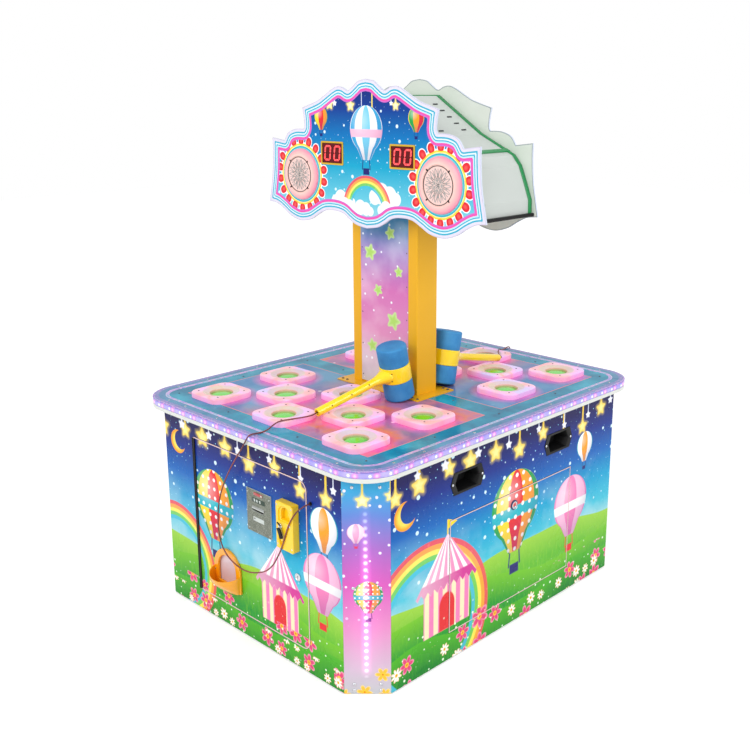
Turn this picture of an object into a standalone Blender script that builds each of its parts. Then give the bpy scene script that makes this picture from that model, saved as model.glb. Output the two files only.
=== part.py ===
"""Mole pounding arcade machine for two players, as separate named pieces.

Metres, +Z up. The origin is on the floor under the middle of the cabinet. The first player
stands at -Y and the second at +Y, and the service door is on the +X side.
"""
import math

import bmesh
import bpy
from mathutils import Matrix, Vector

# Clearances
fit_gap = 0.0003
run_gap = 0.0004
door_gap = 0.0015
overrun = 0.010
bury = 0.001

# Column
column_half_depth = 0.050
column_wall = 0.003
light_half_width = 0.1150
light_thickness = 0.004
light_foot_gap = 0.006
light_head_gap = 0.010
column_band = 0.0425
column_half_width = light_half_width + column_band
flange_reach = 0.045
flange_half_width = column_half_width + flange_reach
flange_half_depth = column_half_depth + flange_reach
flange_thickness = 0.003

# Moles and the light-up rings round their holes
mole_radius = 0.037
mole_crown = 0.006
mole_travel = 0.045
mole_below_ring = 0.010
mole_gap = 0.003
stem_radius = 0.009
stem_spare = 0.020
hole_radius = mole_radius + mole_gap
board_hole_margin = 0.007
board_hole_radius = hole_radius + board_hole_margin
funnel_width = 0.022
funnel_radius = hole_radius + funnel_width
funnel_depth = 0.006
ring_rim = 0.022
ring_half_size = funnel_radius + ring_rim
ring_corner_radius = 0.038
ring_height = 0.019
ring_shoulder = 0.004

# Places of the holes: three rows for each player, the middle row nested between the others
ring_gap = 0.002
row_nest = 0.018
first_row_gap = 0.036
hole_pitch_x = 2 * ring_half_size + ring_gap
hole_pitch_y = 2 * ring_half_size - row_nest
hole_first_y = flange_half_depth + first_row_gap + ring_half_size

# Table round the rings
side_margin = 0.1485
end_margin = 0.1045
table_half_width = 2 * hole_pitch_x + ring_half_size + side_margin
table_half_depth = hole_first_y + 2 * hole_pitch_y + ring_half_size + end_margin
table_corner_radius = 0.127
table_height = 0.700
white_edge_height = 0.0132
led_edge_height = 0.0170
led_edge_width = 0.018
deck_thickness = 0.0030

# Cabinet under the table
table_side_overhang = 0.0225
table_end_overhang = 0.0235
cabinet_half_width = table_half_width - table_side_overhang
cabinet_half_depth = table_half_depth - table_end_overhang
corner_cut = 0.100
wall_thickness = 0.015
wall_foot_gap = 0.004
floor_thickness = 0.018

# Carrying handles in both sides
handle_drop = 0.105
handle_y = 0.240
handle_z = table_height - handle_drop
handle_half_width = 0.079
handle_half_height = 0.037
handle_point = 0.014
handle_depth = 0.040
handle_wall = 0.003

# Service door on the +X side
service_below_handles = 0.078
service_lock_drop = 0.0455
service_half_width = 0.320
service_bottom = 0.0955
service_top = handle_z - handle_half_height - service_below_handles
service_lock_z = service_top - service_lock_drop

# Tray that carries the moles and their drives
tray_drop = 0.115
tray_side_gap = 0.035
tray_end_gap = 0.045
tray_floor_height = table_height - tray_drop
tray_floor_thickness = 0.010
tray_half_width = cabinet_half_width - wall_thickness - handle_depth - tray_side_gap
tray_half_depth = cabinet_half_depth - wall_thickness - tray_end_gap
tray_wall = 0.010
guide_boss_wall = 0.006
guide_boss_radius = stem_radius + guide_boss_wall
drive_box_width = 0.050
drive_box_depth = 0.062
drive_box_height = 0.050
drive_box_offset = 0.040

# Sign head
sign_half_width = 0.515
sign_bottom = 1.311
sign_height = 0.489
sign_thickness = 0.006
casing_half_depth = 0.125
casing_wall = 0.002
casing_rise = 0.067
casing_bottom = sign_bottom + casing_rise
louvre_length = 0.022
louvre_width = 0.005
louvre_y = 0.055
louvre_count = 5

# Speakers in the sign
speaker_from_side = 0.185
speaker_rise = 0.165
speaker_x = sign_half_width - speaker_from_side
speaker_z = sign_bottom + speaker_rise
speaker_flange_radius = 0.090
speaker_hole_inset = 0.010
speaker_grille_inset = 0.026
speaker_hole_radius = speaker_flange_radius - speaker_hole_inset
speaker_grille_radius = speaker_flange_radius - speaker_grille_inset
speaker_dome_height = 0.015
speaker_lip = 0.003
speaker_basket_depth = 0.045
speaker_magnet_radius = 0.040

# Score displays in the sign
display_from_speaker = 0.1635
display_rise = 0.080
display_x = speaker_x - display_from_speaker
display_z = speaker_z + display_rise
display_width = 0.100
display_height = 0.067
display_board_margin = 0.0075
display_board_half_width = display_x + display_width / 2 + display_board_margin
display_board_height = display_height + 2 * display_board_margin
display_board_thickness = 0.002

# Coin door
door_below_table = 0.060
door_left = -0.281
door_right = 0.298
door_bottom = 0.080
door_top = table_height - door_below_table
door_corner_radius = 0.030
hinge_strip_width = 0.009
hinge_strip_end = 0.004
hinge_axis_height = 0.003
hinge_knuckle_radius = 0.0027

# Lock block at the lock side of the door
block_from_edge = 0.077
block_below_table = 0.219
block_x = door_right - block_from_edge
block_z = table_height - block_below_table
block_width = 0.080
block_height = 0.155
block_depth = 0.026
block_edge = 0.004
recess_width = 0.038
recess_height = 0.028
recess_head = 0.0115
recess_spring = block_z + block_height / 2 - recess_head - recess_width / 2
recess_bottom = recess_spring - recess_height
recess_floor = 0.008
recess_depth = block_depth - recess_floor
barrel_offset = 0.015
barrel_rise = 0.001
barrel_x = block_x - barrel_offset
barrel_z = block_z + barrel_rise
barrel_radius = 0.008
barrel_height = 0.006

# Coin plate with the mechanism behind it
coin_from_block = 0.152
coin_below_block = 0.008
coin_x = block_x - coin_from_block
coin_z = block_z - coin_below_block
coin_width = 0.122
coin_height = 0.145
coin_plate_thickness = 0.004
coin_mech_inset = 0.015
coin_mech_foot = 0.0165
coin_mech_width = coin_width - 2 * coin_mech_inset
coin_mech_height = coin_height - 2 * coin_mech_foot
coin_mech_depth = 0.075
coin_slot_offset = 0.0055
coin_slot_rise = 0.0032
coin_slot_x = coin_x - coin_slot_offset
coin_slot_z = coin_z + coin_slot_rise
coin_slot_width = 0.057
coin_slot_height = 0.0055
coin_slot_depth = 0.014
coin_hole_margin = 0.004

# Cam lock under the lock block
lock_from_edge = 0.0476
lock_below_block = 0.0865
lock_x = door_right - lock_from_edge
lock_z = block_z - block_height / 2 - lock_below_block
lock_head_radius = 0.0125
lock_head_height = 0.003
lock_head_lip = 0.003
lock_barrel_radius = lock_head_radius - lock_head_lip
lock_barrel_out = 0.0045
cam_catch = 0.0089
cam_length = lock_from_edge + door_gap + cam_catch
cam_width = 0.016
cam_thickness = 0.003

# Prize outlet
outlet_x = -0.110
outlet_half_width = 0.071
outlet_bottom = 0.147
outlet_straight = 0.070
outlet_spring = outlet_bottom + outlet_straight
outlet_frame_depth = 0.010
window_side = 0.0235
window_sill = 0.018
window_head = 0.023
window_half_width = outlet_half_width - window_side
window_bottom = outlet_bottom + window_sill
window_spring = outlet_spring + outlet_half_width - window_head - window_half_width
chute_side = 0.0065
chute_sill = 0.011
chute_half_width = outlet_half_width - chute_side
chute_bottom = outlet_bottom + chute_sill
chute_wall = 0.003
chute_depth = 0.085
scoop_reach = 0.055
scoop_front_rise = 0.050
scoop_back_rise = 0.065
scoop_rim_front = outlet_bottom + scoop_front_rise
scoop_rim_back = outlet_bottom + scoop_back_rise
scoop_side_gap = 0.0012
scoop_foot_reach = 0.016
scoop_foot_gap = 0.006
scoop_wall = 0.004
scoop_floor = 0.006
scoop_skin = 0.0005
flap_overlap = 0.0025
flap_half_width = window_half_width + flap_overlap
flap_thickness = 0.0025
flap_rod_radius = 0.0018
flap_foot_gap = 0.0035

# Cord gland beside the coin door
gland_from_door = 0.0185
gland_below_table = 0.121
gland_x = door_right + gland_from_door
gland_z = table_height - gland_below_table
gland_radius = 0.006
gland_height = 0.004

# Hammers
foam_radius = 0.052
foam_half_length = 0.095
foam_edge = 0.004
waist_depth = 0.012
waist_radius = foam_radius - waist_depth
collar_lip = 0.001
collar_radius = foam_radius + collar_lip
handle_radius = 0.0135
handle_reach = 0.345
handle_root_radius = 0.027
root_flank = 0.001
collar_half_length = handle_root_radius + root_flank
handle_root_bury = 0.006
handle_root_length = 0.053
handle_root = collar_radius - handle_root_bury
handle_root_end = handle_root + handle_root_length
handle_bore_wall = 0.005
handle_bore_radius = handle_radius - handle_bore_wall
handle_bore_depth = 0.010
front_foam_from_ring = -0.004
back_foam_from_ring = -0.014
front_foam_over_flange = 0.017
back_foam_over_flange = 0.015
front_hammer_place = (ring_half_size + foam_radius + front_foam_from_ring,
                      front_foam_over_flange - flange_half_depth - foam_radius)
back_hammer_place = (ring_half_size + foam_radius + back_foam_from_ring,
                     flange_half_depth + foam_radius - back_foam_over_flange)
front_hammer_turn = math.radians(-4.3)
back_hammer_turn = math.radians(183.4)

# Cords
cord_radius = 0.00225
cord_steps_per_span = 2

# Facets round each kind of round piece
ring_corner_steps = 3
hidden_sides = 8
round_sides = 16
mole_sides = 16
speaker_sides = 16
foam_sides = 20
arch_steps = 12
corner_steps = 4
table_corner_steps = 8

# Levels worked out from the sizes above
wall_top = table_height - fit_gap
white_top = table_height + white_edge_height
board_top = white_top + fit_gap + led_edge_height
deck_bottom = board_top + fit_gap
deck_top = deck_bottom + deck_thickness
ring_top = deck_top + ring_height
mole_top = ring_top - mole_below_ring
mole_foot = table_height - mole_travel
stem_end = tray_floor_height - mole_travel - stem_spare
guide_bore_radius = (stem_radius + run_gap) / math.cos(math.pi / hidden_sides)
flange_bottom = deck_top + fit_gap
flange_top = flange_bottom + flange_thickness
column_top = casing_bottom - fit_gap
face = -cabinet_half_depth
panel_inner = casing_half_depth + fit_gap
panel_outer = panel_inner + sign_thickness
hinge_x = door_left - door_gap / 2
hinge_y = face - hinge_axis_height

# Outline of the sign, right half, from the top middle down: shares of the half width and of
# the height, and whether the edge turns sharply there
sign_outline_shares = [
    (0.000, 1.000, False), (0.068, 0.988, False), (0.117, 0.955, False), (0.167, 0.926, False),
    (0.217, 0.947, False), (0.267, 0.953, False), (0.320, 0.935, False), (0.408, 0.886, False),
    (0.476, 0.853, False), (0.620, 0.809, True), (0.607, 0.752, False), (0.601, 0.685, False),
    (0.612, 0.660, True), (0.700, 0.658, False), (0.775, 0.630, False), (0.817, 0.573, True),
    (0.948, 0.590, True), (0.948, 0.490, False), (0.957, 0.352, False), (0.977, 0.236, False),
    (1.000, 0.118, True), (0.920, 0.108, False), (0.852, 0.076, False), (0.770, 0.027, False),
    (0.668, 0.000, False), (0.559, 0.016, False), (0.474, 0.060, False), (0.400, 0.094, False),
    (0.303, 0.100, False), (0.225, 0.086, False), (0.165, 0.050, False), (0.097, 0.018, False),
    (0.000, 0.002, False),
]
# Section of the casing between the two sign panels, right half, in the same shares
casing_outline_shares = [(0.185, 0.886), (0.553, 0.638), (0.816, 0.510), (0.868, 0.446), (0.907, 0.346),
                         (0.949, 0.231)]
casing_foot_share = 0.951
louvre_first_share = 0.225
louvre_last_share = 0.885

# Routes of the two tether cords, from the hammer's handle to the gland
front_cord_route = [
    (0.1075, -0.4564, 0.7646), (0.1067, -0.4659, 0.7625), (0.1059, -0.4766, 0.7601),
    (0.1035, -0.4920, 0.7579), (0.0955, -0.5160, 0.7566), (0.0830, -0.5480, 0.7562),
    (0.0745, -0.5780, 0.7564), (0.0700, -0.5980, 0.7545), (0.0685, -0.6170, 0.7475),
    (0.0690, -0.6380, 0.7392), (0.0700, -0.6620, 0.7372), (0.0696, -0.6850, 0.7388),
    (0.0683, -0.7000, 0.7396), (0.0635, -0.7084, 0.7345), (0.0565, -0.7105, 0.7245),
    (0.0420, -0.7098, 0.7050), (0.0230, -0.7085, 0.6810), (-0.0010, -0.7075, 0.6520),
    (-0.0450, -0.7070, 0.5930), (-0.0870, -0.7070, 0.5240),
    (-0.1110, -0.7070, 0.4640), (-0.1215, -0.7070, 0.4070), (-0.1200, -0.7070, 0.3550),
    (-0.1060, -0.7070, 0.3120), (-0.0760, -0.7070, 0.2820), (-0.0310, -0.7070, 0.2665),
    (0.0150, -0.7072, 0.2635), (0.0620, -0.7075, 0.2730), (0.1200, -0.7080, 0.2990),
    (0.1600, -0.7085, 0.3330), (0.1850, -0.7090, 0.3680), (0.2090, -0.7094, 0.4090),
    (0.2300, -0.7094, 0.4600), (0.2500, -0.7096, 0.5030), (0.2720, -0.7092, 0.5360),
    (0.2890, -0.7078, 0.5550), (0.3020, -0.7052, 0.5670), (0.3110, -0.7005, 0.5750),
    (0.3158, -0.6930, 0.5786), (0.3165, -0.6843, 0.5790),
]
back_cord_route = [
    (0.1026, 0.4587, 0.7642), (0.1020, 0.4681, 0.7621), (0.1014, 0.4788, 0.7597),
    (0.0960, 0.4960, 0.7577), (0.0780, 0.5130, 0.7566), (0.0560, 0.5320, 0.7562),
    (0.0330, 0.5560, 0.7562), (0.0130, 0.5840, 0.7566), (0.0000, 0.6060, 0.7530),
    (-0.0110, 0.6280, 0.7440), (-0.0200, 0.6520, 0.7378), (-0.0257, 0.6820, 0.7392),
    (-0.0285, 0.6970, 0.7398), (-0.0294, 0.7072, 0.7362), (-0.0286, 0.7112, 0.7260),
    (-0.0250, 0.7104, 0.7070), (-0.0170, 0.7086, 0.6760), (-0.0010, 0.7075, 0.6300),
    (0.0110, 0.7070, 0.5700), (0.0150, 0.7070, 0.5050),
    (0.0080, 0.7070, 0.4430), (-0.0100, 0.7070, 0.3860), (-0.0380, 0.7070, 0.3370),
    (-0.0760, 0.7070, 0.3030), (-0.1180, 0.7075, 0.2920), (-0.1590, 0.7080, 0.3060),
    (-0.1900, 0.7085, 0.3400), (-0.2130, 0.7090, 0.3860), (-0.2310, 0.7094, 0.4370),
    (-0.2480, 0.7096, 0.4880), (-0.2690, 0.7092, 0.5300), (-0.2880, 0.7078, 0.5530),
    (-0.3020, 0.7052, 0.5670), (-0.3110, 0.7005, 0.5750), (-0.3158, 0.6930, 0.5786),
    (-0.3165, 0.6843, 0.5790),
]

for old in list(bpy.data.objects):
    bpy.data.objects.remove(old, do_unlink=True)

machine = bpy.data.collections.new("mole_pounding_machine")
guides = bpy.data.collections.new("cutters_and_guides")
bpy.context.scene.collection.children.link(machine)
bpy.context.scene.collection.children.link(guides)


# Materials

def paint(name, colour, roughness, metallic=0.0, alpha=1.0):
    material = bpy.data.materials.new(name)
    material.use_nodes = True
    shader = material.node_tree.nodes["Principled BSDF"]
    shader.inputs["Base Color"].default_value = (*colour, 1.0)
    shader.inputs["Roughness"].default_value = roughness
    shader.inputs["Metallic"].default_value = metallic
    shader.inputs["Alpha"].default_value = alpha
    return material


printed_panel = paint("printed_panel", (0.03, 0.16, 0.52), 0.35)
printed_door = paint("printed_door", (0.03, 0.30, 0.60), 0.3)
dark_board = paint("dark_board", (0.03, 0.03, 0.035), 0.7)
lit_acrylic = paint("lit_acrylic", (0.75, 0.42, 0.80), 0.3)
white_board = paint("white_board", (0.86, 0.86, 0.86), 0.4)
led_channel = paint("led_channel", (0.45, 0.40, 0.85), 0.3)
play_print = paint("play_print", (0.80, 0.35, 0.60), 0.3)
mole_green = paint("mole_green", (0.13, 0.70, 0.06), 0.45)
tray_grey = paint("tray_grey", (0.45, 0.45, 0.47), 0.6)
column_yellow = paint("column_yellow", (0.90, 0.55, 0.04), 0.4)
sign_print = paint("sign_print", (0.10, 0.55, 0.70), 0.3)
casing_grey = paint("casing_grey", (0.72, 0.74, 0.73), 0.45)
speaker_pink = paint("speaker_pink", (0.85, 0.48, 0.50), 0.35)
display_black = paint("display_black", (0.05, 0.01, 0.01), 0.2)
coin_steel = paint("coin_steel", (0.33, 0.35, 0.33), 0.45, 0.8)
block_yellow = paint("block_yellow", (0.88, 0.62, 0.02), 0.3)
outlet_orange = paint("outlet_orange", (0.92, 0.50, 0.01), 0.3)
flap_lilac = paint("flap_lilac", (0.66, 0.60, 0.66), 0.35)
lock_chrome = paint("lock_chrome", (0.55, 0.57, 0.60), 0.2, 1.0)
hammer_yellow = paint("hammer_yellow", (0.95, 0.72, 0.01), 0.35)
foam_blue = paint("foam_blue", (0.04, 0.24, 0.50), 0.8)
cord_brown = paint("cord_brown", (0.25, 0.05, 0.06), 0.6)


# Outlines

def circle(centre, radius, sides):
    return [(centre[0] + radius * math.cos(2 * math.pi * i / sides),
             centre[1] + radius * math.sin(2 * math.pi * i / sides)) for i in range(sides)]


def arc(centre, radius, start, end, steps):
    """Points on an arc between two angles in degrees, both ends included."""
    angles = [math.radians(start + (end - start) * i / steps) for i in range(steps + 1)]
    return [(centre[0] + radius * math.cos(a), centre[1] + radius * math.sin(a)) for a in angles]


def rounded_rectangle(low, high, radii, steps):
    """Rectangle whose corners have these radii: low left, low right, high right, high left."""
    corners = [((low[0], low[1]), (1, 1), 180), ((high[0], low[1]), (-1, 1), 270),
               ((high[0], high[1]), (-1, -1), 0), ((low[0], high[1]), (1, -1), 90)]
    points = []
    for (corner, inward, start), radius in zip(corners, radii):
        if radius == 0:
            points.append(corner)
            continue
        centre = (corner[0] + inward[0] * radius, corner[1] + inward[1] * radius)
        points += arc(centre, radius, start, start + 90, steps)
    return points


def table_outline(inset):
    """Outline of the table drawn in by an inset."""
    radius = table_corner_radius - inset
    high = (table_half_width - inset, table_half_depth - inset)
    low = (-high[0], -high[1])
    return rounded_rectangle(low, high, [radius] * 4, table_corner_steps)


def arch(centre_x, half_width, bottom, spring):
    """A rectangle with a half circle on top."""
    top = arc((centre_x, spring), half_width, 0, 180, arch_steps)
    return [(centre_x - half_width, bottom), (centre_x + half_width, bottom)] + top


def smooth_outline(points):
    """Curve through points given as (x, z, sharp), with sharp points kept as corners."""
    result = []
    for i in range(len(points) - 1):
        start, end = Vector(points[i][:2]), Vector(points[i + 1][:2])
        before = start if points[i][2] or i == 0 else Vector(points[i - 1][:2])
        after = end if points[i + 1][2] or i + 2 == len(points) else Vector(points[i + 2][:2])
        start_pull, end_pull = (end - before) / 2, (after - start) / 2
        for t in (0.0, 0.5):
            spot = ((2 * t**3 - 3 * t**2 + 1) * start + (t**3 - 2 * t**2 + t) * start_pull
                    + (3 * t**2 - 2 * t**3) * end + (t**3 - t**2) * end_pull)
            result.append((spot.x, spot.y))
    return result + [tuple(points[-1][:2])]


def both_halves(right_half):
    """A closed outline from its right half, which starts and ends on the middle line."""
    return right_half + [(-x, z) for x, z in reversed(right_half[1:-1])]


def inset_polygon(points, distance):
    """Every side of a polygon that runs clockwise moved inwards by a distance."""
    result = []
    count = len(points)
    for i in range(count):
        before, here, after = (Vector(points[(i + k) % count]) for k in (-1, 0, 1))
        first, second = (here - before).normalized(), (after - here).normalized()
        normal_one, normal_two = Vector((first.y, -first.x)), Vector((second.y, -second.x))
        middle = (normal_one + normal_two).normalized()
        result.append(tuple(here + middle * distance / middle.dot(normal_one)))
    return result


# Solids

facing_up = (0, 0, 0)
facing_front = (math.pi / 2, 0, 0)
facing_right = (math.pi / 2, 0, math.pi / 2)


def place_flat(holder, low, high, facing):
    """Stand a flat solid so that its thickness runs from low to high along its facing axis."""
    middle = (low + high) / 2
    holder.rotation_euler = facing
    if facing == facing_up:
        holder.location = (0, 0, middle)
    elif facing == facing_front:
        holder.location = (0, middle, 0)
    else:
        holder.location = (middle, 0, 0)


def flat_curve(name, outlines, low, high, facing):
    """Flat curve with a thickness. The first outline is the rim and the others are holes."""
    curve = bpy.data.curves.new(name, "CURVE")
    curve.dimensions = "2D"
    curve.fill_mode = "BOTH"
    curve.extrude = (high - low) / 2
    for outline in outlines:
        spline = curve.splines.new("POLY")
        spline.points.add(len(outline) - 1)
        for point, (x, y) in zip(spline.points, outline):
            point.co = (x, y, 0, 1)
        spline.use_cyclic_u = True
    holder = bpy.data.objects.new(name, curve)
    place_flat(holder, low, high, facing)
    return holder


def welded(holder):
    """Replace a curve object by a mesh object of the same name with its caps welded on."""
    bpy.context.scene.collection.objects.link(holder)
    bpy.context.view_layer.update()
    graph = bpy.context.evaluated_depsgraph_get()
    mesh = bpy.data.meshes.new_from_object(holder.evaluated_get(graph))
    name, place = holder.name, holder.matrix_world.copy()
    curve = holder.data
    bpy.data.objects.remove(holder, do_unlink=True)
    bpy.data.curves.remove(curve)
    work = bmesh.new()
    work.from_mesh(mesh)
    bmesh.ops.remove_doubles(work, verts=work.verts, dist=0.00001)
    bmesh.ops.recalc_face_normals(work, faces=work.faces)
    work.to_mesh(mesh)
    work.free()
    solid = bpy.data.objects.new(name, mesh)
    solid.matrix_world = place
    return solid


def plate(name, outlines, low, high, facing):
    return welded(flat_curve(name, outlines, low, high, facing))


def from_bmesh(name, work):
    mesh = bpy.data.meshes.new(name)
    bmesh.ops.recalc_face_normals(work, faces=work.faces)
    work.to_mesh(mesh)
    work.free()
    return bpy.data.objects.new(name, mesh)


def box(name, low, high):
    """Box between two corners, in the frame of its parent."""
    low, high = Vector(low), Vector(high)
    work = bmesh.new()
    bmesh.ops.create_cube(work, size=1)
    bmesh.ops.scale(work, vec=high - low, verts=work.verts)
    bmesh.ops.translate(work, vec=(low + high) / 2, verts=work.verts)
    return from_bmesh(name, work)


def cylinder(name, start, end, radius, sides, end_radius=None):
    """Cylinder or cone from one point to another."""
    start, end = Vector(start), Vector(end)
    work = bmesh.new()
    bmesh.ops.create_cone(work, cap_ends=True, segments=sides, radius1=radius,
                          radius2=radius if end_radius is None else end_radius,
                          depth=(end - start).length)
    turn = Vector((0, 0, 1)).rotation_difference(end - start).to_matrix().to_4x4()
    bmesh.ops.transform(work, matrix=Matrix.Translation((start + end) / 2) @ turn, verts=work.verts)
    return from_bmesh(name, work)


def turned(name, profile, sides):
    """Solid turned about Z from a profile of (radius, height), from its top to its bottom."""
    mesh = bpy.data.meshes.new(name)
    mesh.from_pydata([(r, 0, z) for r, z in profile], [(i, i + 1) for i in range(len(profile) - 1)], [])
    solid = bpy.data.objects.new(name, mesh)
    screw = solid.modifiers.new("turn", "SCREW")
    screw.angle = 2 * math.pi
    screw.steps = sides
    screw.render_steps = sides
    screw.use_merge_vertices = True
    screw.merge_threshold = 0.0001
    screw.use_smooth_shade = False
    return solid


def joined(name, pieces):
    """One mesh object that holds several separate bodies, as a cutter or before a union."""
    work = bmesh.new()
    for piece in pieces:
        part = bmesh.new()
        part.from_mesh(piece.data)
        part.transform(piece.matrix_basis)
        spare = bpy.data.meshes.new("spare")
        part.to_mesh(spare)
        part.free()
        work.from_mesh(spare)
        bpy.data.meshes.remove(spare)
        bpy.data.objects.remove(piece, do_unlink=True)
    mesh = bpy.data.meshes.new(name)
    work.to_mesh(mesh)
    work.free()
    return bpy.data.objects.new(name, mesh)


def guide(helper, parent=None):
    """File a cutter or a guide away from the parts."""
    guides.objects.link(helper)
    helper.parent = parent
    helper.hide_render = True
    if helper.type == "MESH":
        helper.display_type = "WIRE"
    return helper


def shape(solid, operation, tool, parent=None):
    """Cut or join a solid with another one that stays as a guide."""
    guide(tool, parent)
    modifier = solid.modifiers.new(operation.lower(), "BOOLEAN")
    modifier.operation = operation
    modifier.object = tool
    return solid


def finish(solid, material, parent=None):
    """Put a solid among the parts in its material."""
    solid.data.materials.clear()
    solid.data.materials.append(material)
    machine.objects.link(solid)
    solid.parent = parent
    return solid


def pivot(name, location, parent=None):
    """Empty on a joint's axis. What it carries is drawn in the frame of the empty's parent."""
    axis = bpy.data.objects.new(name, None)
    axis.empty_display_size = stem_radius
    axis.location = location
    axis.parent = parent
    guides.objects.link(axis)
    return axis


def carried(solid, axis):
    """Shift a solid's place so that it stays put under its pivot."""
    solid.location = Vector(solid.location) - Vector(axis.location)
    return solid


# The two ends of the machine are alike, half a turn apart
end_frames = {}
for end_name, end_turn in (("front", 0.0), ("back", math.pi)):
    end_frames[end_name] = pivot("end_" + end_name, (0, 0, 0))
    end_frames[end_name].rotation_euler = (0, 0, end_turn)


# Cabinet walls: an octagon of plates with mitred ends

def octagon(inset):
    """Corners of the cabinet's plan drawn in by an inset, anticlockwise from the front left."""
    x = cabinet_half_width - inset
    y = cabinet_half_depth - inset
    cut = corner_cut - inset * (2 - math.sqrt(2))
    return [(-x + cut, -y), (x - cut, -y), (x, -y + cut), (x, y - cut),
            (x - cut, y), (-x + cut, y), (-x, y - cut), (-x, -y + cut)]


def wall(name, index):
    """Wall on one side of the octagon, with a mitre at both ends."""
    outer, inner = octagon(0), octagon(wall_thickness)
    ends = []
    for ring in (outer, inner):
        start, end = Vector(ring[index]), Vector(ring[(index + 1) % 8])
        along = (end - start).normalized() * fit_gap / 2
        ends.append((start + along, end - along))
    outline = [ends[0][0], ends[0][1], ends[1][1], ends[1][0]]
    return plate(name, [[tuple(point) for point in outline]], wall_foot_gap, wall_top, facing_up)


def door_outline(grow):
    """Outline of the coin door, square on the hinge side and rounded on the lock side."""
    radius = door_corner_radius + grow
    return rounded_rectangle((door_left - grow, door_bottom - grow), (door_right + grow, door_top + grow),
                             [0, radius, radius, 0], corner_steps)


def floor_board():
    outline = octagon(wall_thickness + fit_gap)
    finish(plate("floor_board", [outline], 0, floor_thickness, facing_up), dark_board)


def end_panel(end_name):
    """End wall with the coin door's opening and the gland that the tether cord comes out of."""
    panel = wall(end_name + "_panel", 0)
    frame = end_frames[end_name]
    opening = plate(end_name + "_door_opening", [door_outline(door_gap)], face - overrun,
                    face + wall_thickness + overrun, facing_front)
    gland = cylinder(end_name + "_gland", (gland_x, face + gland_height, gland_z),
                     (gland_x, face - gland_height, gland_z), gland_radius, round_sides)
    shape(panel, "DIFFERENCE", opening, frame)
    shape(panel, "UNION", gland, frame)
    finish(panel, printed_panel, frame)


def handle_outline(centre_y, grow):
    """Long hexagon of a recessed handle."""
    w, h = handle_half_width + grow, handle_half_height + grow
    y, z = centre_y, handle_z
    return [(y - w, z), (y - w + handle_point, z - h), (y + w - handle_point, z - h),
            (y + w, z), (y + w - handle_point, z + h), (y - w + handle_point, z + h)]


def side_panel(name, side, has_service_door):
    """Long wall with two recessed handles, and on one side the service door's opening."""
    panel = wall(name, 2 if side > 0 else 6)
    outer = side * cabinet_half_width
    inner = side * (cabinet_half_width - wall_thickness)
    back = inner - side * handle_depth
    cups, pockets = [], []
    for y in (-handle_y, handle_y):
        low, high = sorted((inner + side * bury, back))
        cups.append(plate("cup", [handle_outline(y, handle_wall)], low, high, facing_right))
        low, high = sorted((outer + side * overrun, back + side * handle_wall))
        pockets.append(plate("pocket", [handle_outline(y, 0)], low, high, facing_right))
    shape(panel, "UNION", joined(name + "_cups", cups))
    shape(panel, "DIFFERENCE", joined(name + "_pockets", pockets))
    if has_service_door:
        opening = box(name + "_opening",
                      (cabinet_half_width - wall_thickness - overrun, -service_half_width - door_gap,
                       service_bottom - fit_gap),
                      (cabinet_half_width + overrun, service_half_width + door_gap,
                       service_top + door_gap))
        shape(panel, "DIFFERENCE", opening)
    finish(panel, printed_panel)


def service_door():
    """Lift-out door at the side, which tips outwards about its foot."""
    axis = pivot("service_door_axis", (cabinet_half_width, 0, service_bottom))
    door = box("service_door", (cabinet_half_width - wall_thickness, -service_half_width, service_bottom),
               (cabinet_half_width, service_half_width, service_top))
    lock = cylinder("service_lock", (cabinet_half_width - wall_thickness - lock_barrel_out, 0, service_lock_z),
                    (cabinet_half_width + lock_head_height, 0, service_lock_z), lock_head_radius, round_sides)
    shape(door, "UNION", carried(lock, axis), axis)
    finish(carried(door, axis), printed_panel, axis)


floor_board()
end_panel("front")
end_panel("back")
side_panel("right_panel", 1, True)
side_panel("left_panel", -1, False)
service_door()
for corner_name, corner_index in (("front_right", 1), ("back_right", 3), ("back_left", 5), ("front_left", 7)):
    finish(wall("corner_light_" + corner_name, corner_index), lit_acrylic)


# Table: board, lit edge and play deck with its rings

def hole_places():
    """Centres of the sixteen holes, eight for each player."""
    places = []
    for end in (-1, 1):
        for row, columns in enumerate(((-2, 0, 2), (-1, 1), (-2, 0, 2))):
            for column in columns:
                places.append((-end * column * hole_pitch_x, end * (hole_first_y + row * hole_pitch_y)))
    return places


def table_board():
    """Board with a white edge, a rebate all round for the lit edge and a hole for each mole."""
    board = plate("table_board", [table_outline(0)], table_height, white_top, facing_up)
    upper = plate("table_board_top", [table_outline(led_edge_width + fit_gap)], white_top - bury,
                  board_top, facing_up)
    bores = [cylinder("bore", (*place, table_height - overrun), (*place, board_top + overrun),
                      board_hole_radius, hidden_sides) for place in hole_places()]
    shape(board, "UNION", upper)
    shape(board, "DIFFERENCE", joined("table_bores", bores))
    finish(board, white_board)


def edge_light():
    low = white_top + fit_gap
    finish(plate("edge_light", [table_outline(0), table_outline(led_edge_width)], low,
                 low + led_edge_height - fit_gap, facing_up), led_channel)


def ring_blocks():
    """Bodies of all rings as one mesh: rounded squares with a bevelled shoulder."""
    square = rounded_rectangle((-ring_half_size, -ring_half_size), (ring_half_size, ring_half_size),
                               [ring_corner_radius] * 4, ring_corner_steps)
    shrink = 1 - ring_shoulder / ring_half_size
    levels = ((deck_bottom + deck_thickness / 2, 1), (ring_top - ring_shoulder, 1), (ring_top, shrink))
    work = bmesh.new()
    for place in hole_places():
        loops = [[work.verts.new((x * share + place[0], y * share + place[1], z)) for x, y in square]
                 for z, share in levels]
        work.faces.new(loops[0])
        work.faces.new(loops[-1])
        for lower, upper in zip(loops, loops[1:]):
            for i in range(len(square)):
                after = (i + 1) % len(square)
                work.faces.new((lower[i], lower[after], upper[after], upper[i]))
    return from_bmesh("ring_blocks", work)


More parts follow.
